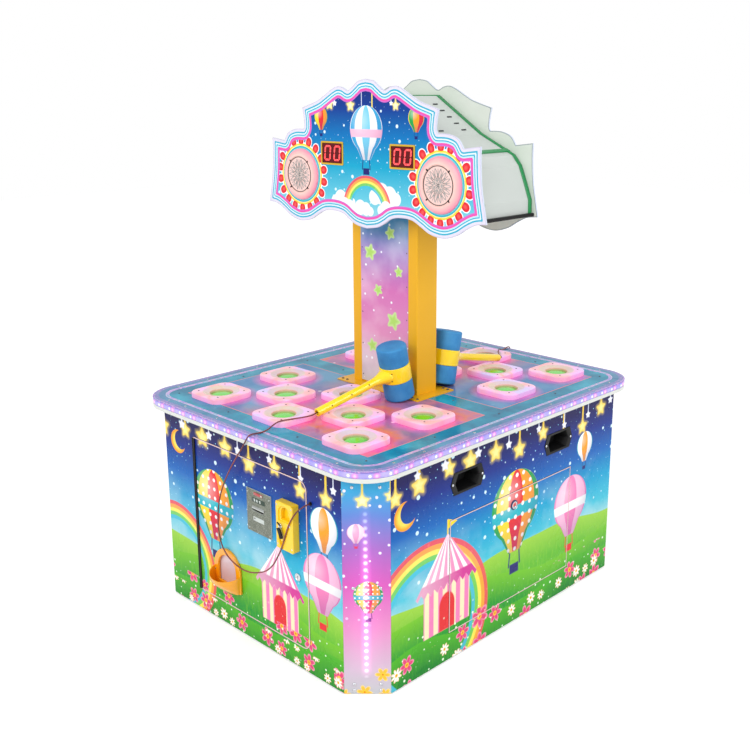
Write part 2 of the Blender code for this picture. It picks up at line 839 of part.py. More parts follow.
def play_deck():
    """Printed sheet with the sixteen light-up rings fixed on it, each with a funnel and a hole."""
    slope = (funnel_radius - hole_radius) / funnel_depth
    bores, funnels = [], []
    for x, y in hole_places():
        bores.append(cylinder("bore", (x, y, deck_bottom - overrun), (x, y, ring_top + overrun),
                              hole_radius, round_sides))
        funnels.append(cylinder("funnel", (x, y, ring_top - funnel_depth - bury), (x, y, ring_top + bury),
                                hole_radius - slope * bury, round_sides, funnel_radius + slope * bury))
    deck = plate("play_deck", [table_outline(0)], deck_bottom, deck_top, facing_up)
    shape(deck, "UNION", ring_blocks())
    shape(deck, "DIFFERENCE", joined("ring_bores", bores))
    shape(deck, "DIFFERENCE", joined("ring_funnels", funnels))
    finish(deck, play_print)


table_board()
edge_light()
play_deck()


# Moles and the tray that guides and drives them

def mole_mesh():
    """Round head with a domed crown on a stem, drawn about its axis with its crown at zero."""
    crown = mole_radius - mole_crown
    foot, end = mole_foot - mole_top, stem_end - mole_top
    profile = [(0, 0), (crown, -mole_crown / 2), (mole_radius, -2 * mole_crown), (mole_radius, foot),
               (stem_radius, foot), (stem_radius, end), (0, end)]
    return turned("mole", profile, mole_sides)


def moles():
    pattern = mole_mesh()
    for number, place in enumerate(hole_places(), start=1):
        mole = bpy.data.objects.new("mole_%02d" % number, pattern.data)
        for source in pattern.modifiers:
            copy = mole.modifiers.new(source.name, source.type)
            copy.angle = source.angle
            copy.steps = source.steps
            copy.render_steps = source.render_steps
            copy.use_merge_vertices = True
            copy.merge_threshold = source.merge_threshold
            copy.use_smooth_shade = False
        mole.location = (place[0], place[1], mole_top)
        finish(mole, mole_green)
    bpy.data.objects.remove(pattern, do_unlink=True)


def mole_tray():
    """Tub under the table: a floor with a guide boss and a drive box for each mole."""
    floor_top = tray_floor_height + tray_floor_thickness
    rim = rounded_rectangle((-tray_half_width, -tray_half_depth), (tray_half_width, tray_half_depth),
                            [0] * 4, 1)
    inner = rounded_rectangle((tray_wall - tray_half_width, tray_wall - tray_half_depth),
                              (tray_half_width - tray_wall, tray_half_depth - tray_wall), [0] * 4, 1)
    tray = plate("mole_tray", [rim], tray_floor_height, floor_top, facing_up)
    walls = plate("tray_walls", [rim, inner], tray_floor_height + bury, wall_top, facing_up)
    boss_top = mole_foot - fit_gap
    bosses, boxes, bores = [], [], []
    for x, y in hole_places():
        bosses.append(cylinder("boss", (x, y, floor_top - bury), (x, y, boss_top), guide_boss_radius,
                               hidden_sides))
        corner = (x + drive_box_offset, y, tray_floor_height + bury)
        boxes.append(box("drive", (corner[0] - drive_box_width / 2, y - drive_box_depth / 2,
                                   tray_floor_height - drive_box_height),
                         (corner[0] + drive_box_width / 2, y + drive_box_depth / 2, corner[2])))
        bores.append(cylinder("bore", (x, y, tray_floor_height - overrun), (x, y, boss_top + overrun),
                              guide_bore_radius, hidden_sides))
    shape(tray, "UNION", walls)
    shape(tray, "UNION", joined("tray_bosses", bosses))
    shape(tray, "UNION", joined("tray_drives", boxes))
    shape(tray, "DIFFERENCE", joined("tray_bores", bores))
    finish(tray, tray_grey)


moles()
mole_tray()


# Column with its base flange and its two lit strips

def column():
    """Folded sheet post with a shallow recess for a lit strip in its front and back."""
    w, d = column_half_width, column_half_depth
    notch = light_half_width + fit_gap
    depth = d - light_thickness - fit_gap
    quarter = [(w, -d), (w, d), (notch, d), (notch, depth), (-notch, depth), (-notch, d)]
    outline = quarter + [(-x, -y) for x, y in quarter]
    hollow_w, hollow_d = w - column_wall, depth - column_wall
    hollow = [(-hollow_w, -hollow_d), (hollow_w, -hollow_d), (hollow_w, hollow_d), (-hollow_w, hollow_d)]
    post = plate("column", [outline, hollow], flange_bottom + bury, column_top, facing_up)
    w, d = flange_half_width, flange_half_depth
    rim = [(-w, -d), (w, -d), (w, d), (-w, d)]
    mouth = [(x * (hollow_w - bury) / hollow_w, y * (hollow_d - bury) / hollow_d) for x, y in hollow]
    shape(post, "UNION", plate("column_flange", [rim, mouth], flange_bottom, flange_top, facing_up))
    finish(post, column_yellow)


def column_light(end_name):
    """Lit acrylic strip in the column's recess."""
    strip = box("column_light_" + end_name,
                (-light_half_width, -column_half_depth, flange_top + light_foot_gap),
                (light_half_width, -column_half_depth + light_thickness, column_top - light_head_gap))
    finish(strip, lit_acrylic, end_frames[end_name])


column()
column_light("front")
column_light("back")


# Sign head

def sign_point(share):
    return (share[0] * sign_half_width, sign_bottom + share[1] * sign_height)


def sign_panel(end_name):
    """Wavy printed panel with holes for the speakers and windows for the displays."""
    right = [(*sign_point(share), share[2]) for share in sign_outline_shares]
    outlines = [both_halves(smooth_outline(right))]
    for side in (-1, 1):
        outlines.append(circle((side * speaker_x, speaker_z), speaker_hole_radius, speaker_sides))
        half_w, half_h = display_width / 2 + run_gap, display_height / 2 + run_gap
        outlines.append(rounded_rectangle((side * display_x - half_w, display_z - half_h),
                                          (side * display_x + half_w, display_z + half_h), [0] * 4, 1))
    panel = plate("sign_panel_" + end_name, outlines, -panel_outer, -panel_inner, facing_front)
    finish(panel, sign_print, end_frames[end_name])


def casing_section():
    """Section of the casing, clockwise from the left foot."""
    right = [sign_point(share) for share in casing_outline_shares]
    right.append((casing_foot_share * sign_half_width, casing_bottom))
    return [(-x, z) for x, z in reversed(right)] + right


def sign_casing():
    """Sheet casing between the two panels, with two rows of louvre slots in both slopes."""
    section = casing_section()
    casing = plate("sign_casing", [section, inset_polygon(section, casing_wall)],
                   -casing_half_depth, casing_half_depth, facing_front)
    start, end = (Vector(sign_point(share)) for share in casing_outline_shares[:2])
    slope = math.atan2(start.y - end.y, end.x - start.x)
    slots = []
    for i in range(louvre_count):
        share = louvre_first_share + (louvre_last_share - louvre_first_share) * i / (louvre_count - 1)
        spot = start.lerp(end, share)
        for side in (-1, 1):
            for row in (-louvre_y, louvre_y):
                slot = box("slot", (-louvre_width / 2, -louvre_length / 2, -overrun),
                           (louvre_width / 2, louvre_length / 2, overrun))
                slot.matrix_basis = (Matrix.Translation((side * spot.x, row, spot.y))
                                     @ Matrix.Rotation(side * slope, 4, "Y"))
                slots.append(slot)
    shape(casing, "DIFFERENCE", joined("louvre_slots", slots))
    finish(casing, casing_grey)


def speaker(end_name, side_name, side):
    """Lit dome with a flat grille in front and a driver behind, turned about its axis."""
    r = speaker_flange_radius
    seat = fit_gap
    crown = seat + speaker_dome_height
    basket = -sign_thickness - speaker_basket_depth
    neck = speaker_hole_radius - door_gap
    profile = [(0, crown), (speaker_grille_radius, crown), ((r + speaker_grille_radius) / 2, crown - speaker_lip),
               (r, seat + speaker_lip), (r, seat), (neck, seat), (neck, -sign_thickness - speaker_lip),
               (speaker_magnet_radius, basket), (0, basket)]
    body = turned("speaker_%s_%s" % (end_name, side_name), profile, speaker_sides)
    body.rotation_euler = facing_front
    body.location = (side * speaker_x, -panel_outer, speaker_z)
    finish(body, speaker_pink, end_frames[end_name])


def score_display(end_name):
    """Board behind the panel with two digit blocks that reach through the windows."""
    low = -casing_half_depth + fit_gap
    board = box("score_display_" + end_name,
                (-display_board_half_width, low, display_z - display_board_height / 2),
                (display_board_half_width, low + display_board_thickness, display_z + display_board_height / 2))
    blocks = [box("block", (side * display_x - display_width / 2, -panel_outer, display_z - display_height / 2),
                  (side * display_x + display_width / 2, low + bury, display_z + display_height / 2))
              for side in (-1, 1)]
    shape(board, "UNION", joined("display_blocks_" + end_name, blocks), end_frames[end_name])
    finish(board, display_black, end_frames[end_name])


sign_casing()
for end_name in end_frames:
    sign_panel(end_name)
    score_display(end_name)
    speaker(end_name, "left", -1)
    speaker(end_name, "right", 1)


# Coin door with its fittings

def coin_door(end_name, axis):
    """Printed door with its hinge strip and the openings of its fittings."""
    half_w, half_h = coin_mech_width / 2 + coin_hole_margin, coin_mech_height / 2 + coin_hole_margin
    coin_hole = rounded_rectangle((coin_x - half_w, coin_z - half_h), (coin_x + half_w, coin_z + half_h),
                                  [0] * 4, 1)
    clear = chute_wall + run_gap
    chute_hole = arch(outlet_x, chute_half_width + clear, chute_bottom - clear, outlet_spring)
    lock_hole = circle((lock_x, lock_z), lock_barrel_radius + run_gap, round_sides)
    door = plate("coin_door_" + end_name, [door_outline(0), coin_hole, chute_hole, lock_hole],
                 face, face + wall_thickness, facing_front)
    low, high = door_bottom + hinge_strip_end, door_top - hinge_strip_end
    strip = box("hinge_strip_" + end_name, (0, -hinge_knuckle_radius / 2, low),
                (hinge_strip_width, hinge_axis_height + bury, high))
    knuckle = cylinder("hinge_knuckle_" + end_name, (0, 0, low - bury), (0, 0, high + bury),
                       hinge_knuckle_radius, round_sides // 2)
    shape(door, "UNION", strip, axis)
    shape(door, "UNION", knuckle, axis)
    finish(carried(door, axis), printed_door, axis)


def coin_plate(end_name, axis):
    """Hammered plate with the coin slot, and the coin mechanism fixed behind it."""
    back = face - fit_gap
    body = box("coin_plate_" + end_name,
               (coin_x - coin_width / 2, back - coin_plate_thickness, coin_z - coin_height / 2),
               (coin_x + coin_width / 2, back, coin_z + coin_height / 2))
    mech = box("coin_mech_" + end_name,
               (coin_x - coin_mech_width / 2, back - bury, coin_z - coin_mech_height / 2),
               (coin_x + coin_mech_width / 2, back + coin_mech_depth, coin_z + coin_mech_height / 2))
    slot = box("coin_slot_" + end_name,
               (coin_slot_x - coin_slot_width / 2, back - coin_plate_thickness - overrun,
                coin_slot_z - coin_slot_height / 2),
               (coin_slot_x + coin_slot_width / 2, back - coin_plate_thickness + coin_slot_depth,
                coin_slot_z + coin_slot_height / 2))
    shape(body, "UNION", carried(mech, axis), axis)
    shape(body, "DIFFERENCE", carried(slot, axis), axis)
    finish(carried(body, axis), coin_steel, axis)


def lock_block(end_name, axis):
    """Moulded block with a finger recess and a lock barrel."""
    back = face - fit_gap
    front = back - block_depth
    outline = rounded_rectangle((block_x - block_width / 2, block_z - block_height / 2),
                                (block_x + block_width / 2, block_z + block_height / 2),
                                [block_edge] * 4, corner_steps // 2)
    body = plate("lock_block_" + end_name, [outline], front, back, facing_front)
    pocket = plate("recess_" + end_name, [arch(block_x, recess_width / 2, recess_bottom, recess_spring)],
                   front - overrun, front + recess_depth, facing_front)
    barrel = cylinder("barrel_" + end_name, (barrel_x, front + bury, barrel_z),
                      (barrel_x, front - barrel_height, barrel_z), barrel_radius, round_sides)
    shape(body, "DIFFERENCE", carried(pocket, axis), axis)
    shape(body, "UNION", carried(barrel, axis), axis)
    finish(carried(body, axis), block_yellow, axis)


def scoop_bowl(name, inset, floor, lift, cut_y):
    """Front half of an oval bowl that narrows to its foot, with a rim that dips to the front."""
    front = face - fit_gap - outlet_frame_depth
    rim_width = outlet_half_width - scoop_side_gap - inset
    foot_width = outlet_half_width - scoop_foot_gap - inset
    dip = (scoop_rim_back - scoop_rim_front) / scoop_reach
    work = bmesh.new()
    bmesh.ops.create_cone(work, cap_ends=True, segments=2 * arch_steps, radius1=1, radius2=1, depth=1)
    for corner in work.verts:
        if corner.co.z > 0:
            y = corner.co.y * (scoop_reach - inset)
            corner.co = (outlet_x + corner.co.x * rim_width, front + y, scoop_rim_back + lift + y * dip)
        else:
            y = corner.co.y * (scoop_foot_reach - inset)
            corner.co = (outlet_x + corner.co.x * foot_width, front + y, floor)
    bmesh.ops.bisect_plane(work, geom=work.verts[:] + work.edges[:] + work.faces[:],
                           plane_co=(0, cut_y, 0), plane_no=(0, 1, 0), clear_outer=True)
    bmesh.ops.holes_fill(work, edges=[edge for edge in work.edges if edge.is_boundary])
    return from_bmesh(name, work)


def prize_outlet(end_name, axis):
    """Arched frame with a scoop in front and an arched chute that runs back through the door."""
    back = face - fit_gap
    front = back - outlet_frame_depth
    frame = plate("prize_outlet_" + end_name,
                  [arch(outlet_x, outlet_half_width, outlet_bottom, outlet_spring)], front, back, facing_front)
    chute = plate("chute_" + end_name,
                  [arch(outlet_x, chute_half_width + chute_wall, chute_bottom - chute_wall, outlet_spring)],
                  front + outlet_frame_depth / 2, back + chute_depth, facing_front)
    passage = plate("passage_" + end_name,
                    [arch(outlet_x, chute_half_width, chute_bottom, outlet_spring)],
                    back, back + chute_depth + overrun, facing_front)
    scoop = scoop_bowl("scoop_" + end_name, 0, outlet_bottom + bury, 0, front + bury)
    cavity = scoop_bowl("cavity_" + end_name, scoop_wall, outlet_bottom + scoop_floor, bury,
                        front - scoop_skin)
    window = plate("window_" + end_name,
                   [arch(outlet_x, window_half_width, window_bottom, window_spring)],
                   front - 2 * scoop_skin, back + bury, facing_front)
    shape(frame, "UNION", carried(chute, axis), axis)
    shape(frame, "UNION", carried(scoop, axis), axis)
    shape(frame, "DIFFERENCE", carried(cavity, axis), axis)
    shape(frame, "DIFFERENCE", carried(passage, axis), axis)
    shape(frame, "DIFFERENCE", carried(window, axis), axis)
    finish(carried(frame, axis), outlet_orange, axis)


def prize_flap(end_name, door_axis):
    """Arched flap behind the outlet's window, hung on a rod across the chute at its top."""
    rod_y = face + flap_rod_radius
    rod_z = window_spring + flap_half_width
    rise = rod_z - outlet_spring
    flat_radius = chute_half_width * math.cos(math.pi / (2 * arch_steps))
    rod_half = math.sqrt(flat_radius ** 2 - (rise + flap_rod_radius) ** 2) - fit_gap
    axis = pivot("prize_flap_axis_" + end_name,
                 (outlet_x - door_axis.location.x, rod_y - door_axis.location.y, rod_z), door_axis)
    flap = plate("prize_flap_" + end_name,
                 [arch(0, flap_half_width, chute_bottom + flap_foot_gap - rod_z, window_spring - rod_z)],
                 -flap_thickness / 2, flap_thickness / 2, facing_front)
    rod = cylinder("flap_rod_" + end_name, (-rod_half, 0, 0), (rod_half, 0, 0),
                   flap_rod_radius, round_sides // 2)
    shape(flap, "UNION", rod, axis)
    finish(flap, flap_lilac, axis)


def door_lock(end_name, door_axis):
    """Cam lock: head, barrel through the door and a cam behind it, shown unlocked."""
    axis = pivot("door_lock_axis_" + end_name,
                 (lock_x - door_axis.location.x, face - door_axis.location.y, lock_z), door_axis)
    head = cylinder("door_lock_" + end_name, (0, -fit_gap, 0), (0, -fit_gap - lock_head_height, 0),
                    lock_head_radius, round_sides)
    inner_end = wall_thickness + lock_barrel_out
    barrel = cylinder("lock_barrel_" + end_name, (0, -fit_gap - bury, 0), (0, inner_end, 0),
                      lock_barrel_radius, round_sides)
    cam = box("lock_cam_" + end_name, (-cam_width / 2, inner_end - cam_thickness, -cam_length),
              (cam_width / 2, inner_end + bury, lock_barrel_radius))
    shape(head, "UNION", barrel, axis)
    shape(head, "UNION", cam, axis)
    finish(head, lock_chrome, axis)


for end_name, end_frame in end_frames.items():
    hinge = pivot("coin_door_axis_" + end_name, (hinge_x, hinge_y, 0), end_frame)
    coin_door(end_name, hinge)
    coin_plate(end_name, hinge)
    lock_block(end_name, hinge)
    prize_outlet(end_name, hinge)
    prize_flap(end_name, hinge)
    door_lock(end_name, hinge)


# Hammers: a foam head in a collar, with the handle resting on a ring

def hammer_tilt(across):
    """Tilt at which the handle just clears the far edge of the ring that it rests on."""
    contact_y = hole_first_y + hole_pitch_y + ring_half_size - ring_shoulder
    tilt = 0.0
    for _ in range(60):
        height = (deck_top + fit_gap + (foam_radius - foam_edge) * math.sin(tilt)
                  + foam_half_length * math.cos(tilt))
        rise = ring_top + (handle_radius + fit_gap) / math.cos(tilt)
        tilt = math.atan2(height - rise, contact_y - across)
    return tilt, height


def hammer(end_name, place, turn):
    tilt, height = hammer_tilt(abs(place[1]))
    axis = pivot("hammer_axis_" + end_name, (place[0], place[1], height))
    axis.rotation_euler = (tilt, 0, turn)
    edge = foam_radius - foam_edge
    end = foam_half_length - foam_edge
    shoulder = collar_half_length + fit_gap
    half = [(0, foam_half_length), (edge, foam_half_length), (foam_radius, end), (foam_radius, shoulder),
            (waist_radius, shoulder)]
    profile = half + [(r, -z) for r, z in reversed(half)]
    finish(turned("hammer_foam_" + end_name, profile, foam_sides), foam_blue, axis)
    rim = circle((0, 0), collar_radius, foam_sides)
    hollow = circle((0, 0), waist_radius + run_gap, foam_sides)
    body = plate("hammer_" + end_name, [rim, hollow], -collar_half_length, collar_half_length, facing_up)
    root = cylinder("handle_root_" + end_name, (0, -handle_root, 0), (0, -handle_root_end, 0),
                    handle_root_radius, round_sides, handle_radius)
    grip = cylinder("handle_grip_" + end_name, (0, bury - handle_root_end, 0), (0, -handle_reach, 0),
                    handle_radius + run_gap, round_sides)
    bore = cylinder("handle_bore_" + end_name, (0, handle_bore_depth - handle_reach, 0),
                    (0, -handle_reach - overrun, 0), handle_bore_radius, round_sides)
    shape(body, "UNION", root, axis)
    shape(body, "UNION", grip, axis)
    shape(body, "DIFFERENCE", bore, axis)
    finish(body, hammer_yellow, axis)


hammer("front", front_hammer_place, front_hammer_turn)
hammer("back", back_hammer_place, back_hammer_turn)


# Tether cords

def cord(name, route):
    """Tube along a smooth curve through the route's points."""
    spots = [Vector(spot) for spot in route]
    points = []
    for i in range(len(spots) - 1):
        before, start, end, after = (spots[max(i - 1, 0)], spots[i], spots[i + 1],
                                     spots[min(i + 2, len(spots) - 1)])
        for step in range(cord_steps_per_span):
            t = step / cord_steps_per_span
            points.append(0.5 * (2 * start + (end - before) * t
                                 + (2 * before - 5 * start + 4 * end - after) * t**2
                                 + (3 * start - before - 3 * end + after) * t**3))
    points.append(spots[-1])
    curve = bpy.data.curves.new(name, "CURVE")
    curve.dimensions = "3D"
    curve.bevel_depth = cord_radius
    curve.bevel_resolution = 2
    curve.use_fill_caps = True
    spline = curve.splines.new("POLY")
    spline.points.add(len(points) - 1)
    for knot, spot in zip(spline.points, points):
        knot.co = (*spot, 1)
    finish(bpy.data.objects.new(name, curve), cord_brown)


cord("cord_front", front_cord_route)
cord("cord_back", back_cord_route)
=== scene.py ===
# Mole pounding arcade machine for two players: the finish of every piece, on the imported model.
# Metres, +Z up. The front player stands at -Y, the back player at +Y, the service door is at +X.
import math

import bpy
import numpy as np
from mathutils import Matrix, Vector
from mathutils.geometry import delaunay_2d_cdt


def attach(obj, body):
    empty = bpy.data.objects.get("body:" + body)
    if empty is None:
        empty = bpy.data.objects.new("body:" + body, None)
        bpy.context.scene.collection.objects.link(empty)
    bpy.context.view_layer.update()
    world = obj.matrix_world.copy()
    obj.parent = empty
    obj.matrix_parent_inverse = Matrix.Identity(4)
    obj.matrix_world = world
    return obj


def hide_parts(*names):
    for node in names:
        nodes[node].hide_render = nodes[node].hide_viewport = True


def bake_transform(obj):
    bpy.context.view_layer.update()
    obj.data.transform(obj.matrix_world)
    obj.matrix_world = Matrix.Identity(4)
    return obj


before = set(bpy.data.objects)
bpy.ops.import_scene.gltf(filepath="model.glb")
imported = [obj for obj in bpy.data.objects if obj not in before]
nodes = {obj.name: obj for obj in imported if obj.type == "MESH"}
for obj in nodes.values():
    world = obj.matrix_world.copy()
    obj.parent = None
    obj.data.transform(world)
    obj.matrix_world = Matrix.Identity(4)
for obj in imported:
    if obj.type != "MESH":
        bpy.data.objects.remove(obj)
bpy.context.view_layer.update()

scene = bpy.context.scene
scene.view_settings.view_transform = "Standard"


# Studio: an even white room with a white floor and two soft lamps. The camera stands off the
# corner between the coin door and the service door, a little above the sign's middle.

def srgb(red, green, blue):
    """Linear colour from the 0 to 255 values that a screen shows."""
    shares = np.array((red, green, blue)) / 255
    linear = np.where(shares <= 0.04045, shares / 12.92, ((shares + 0.055) / 1.055) ** 2.4)
    return (*[float(value) for value in linear], 1.0)


camera_place = Vector((2.39597, -2.45447, 1.76237))
camera_azimuth, camera_drop, camera_roll = (math.radians(turn) for turn in (45.134, 14.307, -0.344))
forward = Vector((-math.sin(camera_azimuth) * math.cos(camera_drop),
                  math.cos(camera_azimuth) * math.cos(camera_drop), -math.sin(camera_drop)))
level_right = forward.cross(Vector((0, 0, 1))).normalized()
level_up = level_right.cross(forward)
right = level_right * math.cos(camera_roll) + level_up * math.sin(camera_roll)
up = right.cross(forward)
camera_data = bpy.data.cameras.new("camera")
camera_data.sensor_width = 36
camera_data.lens = 47.575
camera_data.shift_x = -0.0073
camera_data.shift_y = -0.0421
camera = bpy.data.objects.new("camera", camera_data)
turn = Matrix((right, up, -forward)).transposed().to_4x4()
camera.matrix_world = Matrix.Translation(camera_place) @ turn
scene.collection.objects.link(camera)
scene.camera = camera


def soft_lamp(name, place, target, size, watts):
    """Square lamp that faces a target."""
    data = bpy.data.lights.new(name, "AREA")
    data.size = size
    data.energy = watts
    lamp = bpy.data.objects.new(name, data)
    lamp.location = place
    lamp.rotation_euler = (Vector(target) - Vector(place)).to_track_quat("-Z", "Y").to_euler()
    scene.collection.objects.link(lamp)


middle = (0, 0, 0.8)
soft_lamp("key_lamp", (0.6, -5.2, 4.4), middle, 3.2, 170)
soft_lamp("side_lamp", (5.0, 0.8, 3.4), middle, 3.0, 105)

room = bpy.data.worlds.new("room")
scene.world = room
room.use_nodes = True
room_nodes, room_links = room.node_tree.nodes, room.node_tree.links
rays = room_nodes.new("ShaderNodeLightPath")
seen = room_nodes.new("ShaderNodeMath")
seen.operation = "MAXIMUM"
room_links.new(rays.outputs["Is Camera Ray"], seen.inputs[0])
room_links.new(rays.outputs["Is Transmission Ray"], seen.inputs[1])
level = room_nodes.new("ShaderNodeMapRange")
level.inputs["To Min"].default_value = 0.80
level.inputs["To Max"].default_value = 1.0
room_links.new(seen.outputs[0], level.inputs["Value"])
room_links.new(level.outputs["Result"], room_nodes["Background"].inputs["Strength"])
room_nodes["Background"].inputs["Color"].default_value = (1, 1, 1, 1)

floor_mesh = bpy.data.meshes.new("studio_floor")
floor_reach = 14
floor_mesh.from_pydata([(x * floor_reach, y * floor_reach, 0)
                        for x, y in ((-1, -1), (1, -1), (1, 1), (-1, 1))],
                       [], [(0, 1, 2, 3)])
studio_floor = bpy.data.objects.new("studio_floor", floor_mesh)
scene.collection.objects.link(studio_floor)
floor_paint = bpy.data.materials.new("studio_floor")
floor_paint.use_nodes = True
floor_nodes, floor_links = floor_paint.node_tree.nodes, floor_paint.node_tree.links
floor_shader = floor_nodes["Principled BSDF"]
floor_shader.inputs["Base Color"].default_value = (0.82, 0.82, 0.82, 1)
floor_shader.inputs["Roughness"].default_value = 0.9
floor_shader.inputs["Emission Color"].default_value = (1, 1, 1, 1)
floor_rays = floor_nodes.new("ShaderNodeLightPath")
floor_seen = floor_nodes.new("ShaderNodeMath")
floor_seen.operation = "MAXIMUM"
floor_glow = floor_nodes.new("ShaderNodeMath")
floor_glow.operation = "MULTIPLY"
floor_glow.inputs[1].default_value = 0.37
floor_links.new(floor_rays.outputs["Is Camera Ray"], floor_seen.inputs[0])
floor_links.new(floor_rays.outputs["Is Glossy Ray"], floor_seen.inputs[1])
floor_links.new(floor_seen.outputs[0], floor_glow.inputs[0])
floor_links.new(floor_glow.outputs[0], floor_shader.inputs["Emission Strength"])
floor_mesh.materials.append(floor_paint)


# Tether cords: a thin red-brown sheathed wire from each hammer's handle, over the table's edge, in
# a hanging loop in front of the coin door and back into the gland beside the door.

class Field:
    """A number that changes over a surface. Arithmetic with it adds the matching shader nodes."""

    def __init__(self, tree, socket):
        self.tree, self.socket = tree, socket

    def calc(self, operation, *others):
        """The result of one Math node on the field and the other values."""
        node = self.tree.nodes.new("ShaderNodeMath")
        node.operation = operation
        for slot, value in zip(node.inputs, (self, *others)):
            if isinstance(value, Field):
                self.tree.links.new(value.socket, slot)
            else:
                slot.default_value = value
        return Field(self.tree, node.outputs[0])

    def __add__(self, other):
        return self.calc("ADD", other)

    def __sub__(self, other):
        return self.calc("SUBTRACT", other)

    def __mul__(self, other):
        return self.calc("MULTIPLY", other)

    def __truediv__(self, other):
        return self.calc("DIVIDE", other)

    def __neg__(self):
        return self * -1.0

    def __abs__(self):
        return self.calc("ABSOLUTE")

    def clamp(self):
        """The field held between zero and one."""
        low = self.calc("MAXIMUM", 0.0)
        return low.calc("MINIMUM", 1.0)

    def below(self, edge, blur=0.0008):
        """One where the field is under the edge and zero over it, with a short blur between."""
        gap = -self + edge if isinstance(edge, Field) else self.calc("MULTIPLY_ADD", -1.0, edge)
        return (gap / blur + 0.5).clamp()

    def above(self, edge, blur=0.0008):
        """One where the field is over the edge and zero under it, with a short blur between."""
        gap = self - edge
        return (gap / blur + 0.5).clamp()


class Recipe:
    """Shader nodes of one material or node group, and the material's shader."""

    def __init__(self, tree, shader=None):
        self.tree, self.shader = tree, shader

    def add(self, kind, **settings):
        """A new node with its settings."""
        node = self.tree.nodes.new(kind)
        for name, value in settings.items():
            setattr(node, name, value)
        return node

    def feed(self, socket, value):
        """A link into the socket from a field or an output, or else a constant on it."""
        if isinstance(value, Field):
            self.tree.links.new(value.socket, socket)
        elif isinstance(value, bpy.types.NodeSocket):
            self.tree.links.new(value, socket)
        else:
            socket.default_value = value

    def coat(self, **values):
        """Feed the shader's inputs, named with _ for each space."""
        for label, value in values.items():
            self.feed(self.shader.inputs[label.replace("_", " ")], value)

    def bump(self, height, distance, strength=1.0):
        """Tilt the shader's normal by the slope of a height."""
        node = self.add("ShaderNodeBump")
        node.inputs["Strength"].default_value = strength
        node.inputs["Distance"].default_value = distance
        self.feed(node.inputs["Height"], height)
        self.coat(Normal=node.outputs[0])

    def place(self, kind="Object"):
        """The three coordinates of the surface in the frame of the whole machine."""
        split = self.add("ShaderNodeSeparateXYZ")
        self.tree.links.new(self.add("ShaderNodeTexCoord").outputs[kind], split.inputs[0])
        return [Field(self.tree, output) for output in split.outputs]

    def noise(self, scale, detail=3.0, rough=0.5, stretch=(1, 1, 1)):
        """Smooth noise from 0 to 1 over the object's coordinates, which can be stretched first."""
        texture = self.add("ShaderNodeTexNoise")
        texture.inputs["Scale"].default_value = scale
        texture.inputs["Detail"].default_value = detail
        texture.inputs["Roughness"].default_value = rough
        mapping = self.add("ShaderNodeMapping")
        mapping.inputs["Scale"].default_value = stretch
        self.tree.links.new(self.add("ShaderNodeTexCoord").outputs["Object"], mapping.inputs[0])
        self.tree.links.new(mapping.outputs[0], texture.inputs["Vector"])
        return Field(self.tree, texture.outputs[0])

    def random(self, value):
        """A fixed random number from 0 to 1 for each value."""
        texture = self.add("ShaderNodeTexWhiteNoise", noise_dimensions="1D")
        self.tree.links.new(value.socket, texture.inputs["W"])
        return Field(self.tree, texture.outputs["Value"])

    def ramp(self, value, stops, interpolation="LINEAR"):
        """Colour read from (place, colour) stops."""
        node = self.add("ShaderNodeValToRGB")
        node.color_ramp.interpolation = interpolation
        points = node.color_ramp.elements
        while len(points) < len(stops):
            points.new(1.0)
        for point, (where, colour) in zip(points, sorted(stops, key=lambda stop: stop[0])):
            point.position = where
            point.color = colour
        self.tree.links.new(value.socket, node.inputs[0])
        return node.outputs[0]

    def over(self, base, mask, colour):
        """A colour laid over another one where the mask is one."""
        node = self.add("ShaderNodeMix", data_type="RGBA")
        self.feed(node.inputs[0], mask)
        self.feed(node.inputs[6], base)
        self.feed(node.inputs[7], colour)
        return node.outputs[2]

    def times(self, first, second):
        """Two colours multiplied."""
        node = self.add("ShaderNodeMix", data_type="RGBA", blend_type="MULTIPLY")
        for slot, value in zip((0, 6, 7), (1.0, first, second)):
            self.feed(node.inputs[slot], value)
        return node.outputs[2]

    def use(self, group, **values):
        """A node group placed here with its own values. Returns its outputs by name."""
        node = self.add("ShaderNodeGroup", node_tree=group)
        for name, value in values.items():
            self.feed(node.inputs[name], value)
        return {output.name: Field(self.tree, output) for output in node.outputs}


def start_group(name, numbers):
    """An empty node group with number inputs. Returns its recipe and its inputs."""
    group = bpy.data.node_groups.new(name, "ShaderNodeTree")
    for label in numbers:
        group.interface.new_socket(label, in_out="INPUT", socket_type="NodeSocketFloat")
    inputs = group.nodes.new("NodeGroupInput")
    return Recipe(group), {output.name: Field(group, output) for output in inputs.outputs if output.name}


def end_group(recipe, **results):
    """Give the group its number outputs."""
    for label in results:
        recipe.tree.interface.new_socket(label, in_out="OUTPUT", socket_type="NodeSocketFloat")
    outputs = recipe.add("NodeGroupOutput")
    for label, value in results.items():
        recipe.feed(outputs.inputs[label], value)
    return recipe.tree


def start_finish(name, roughness=0.4, metallic=0.0, **constants):
    """A material and the recipe of its shader, with the settings that are the same all over."""
    material = bpy.data.materials.new(name)
    material.use_nodes = True
    shader = material.node_tree.nodes["Principled BSDF"]
    shader.inputs["Roughness"].default_value = roughness
    shader.inputs["Metallic"].default_value = metallic
    for label, value in constants.items():
        shader.inputs[label.replace("_", " ").title().replace("Ior", "IOR")].default_value = value
    return material, Recipe(material.node_tree, shader)


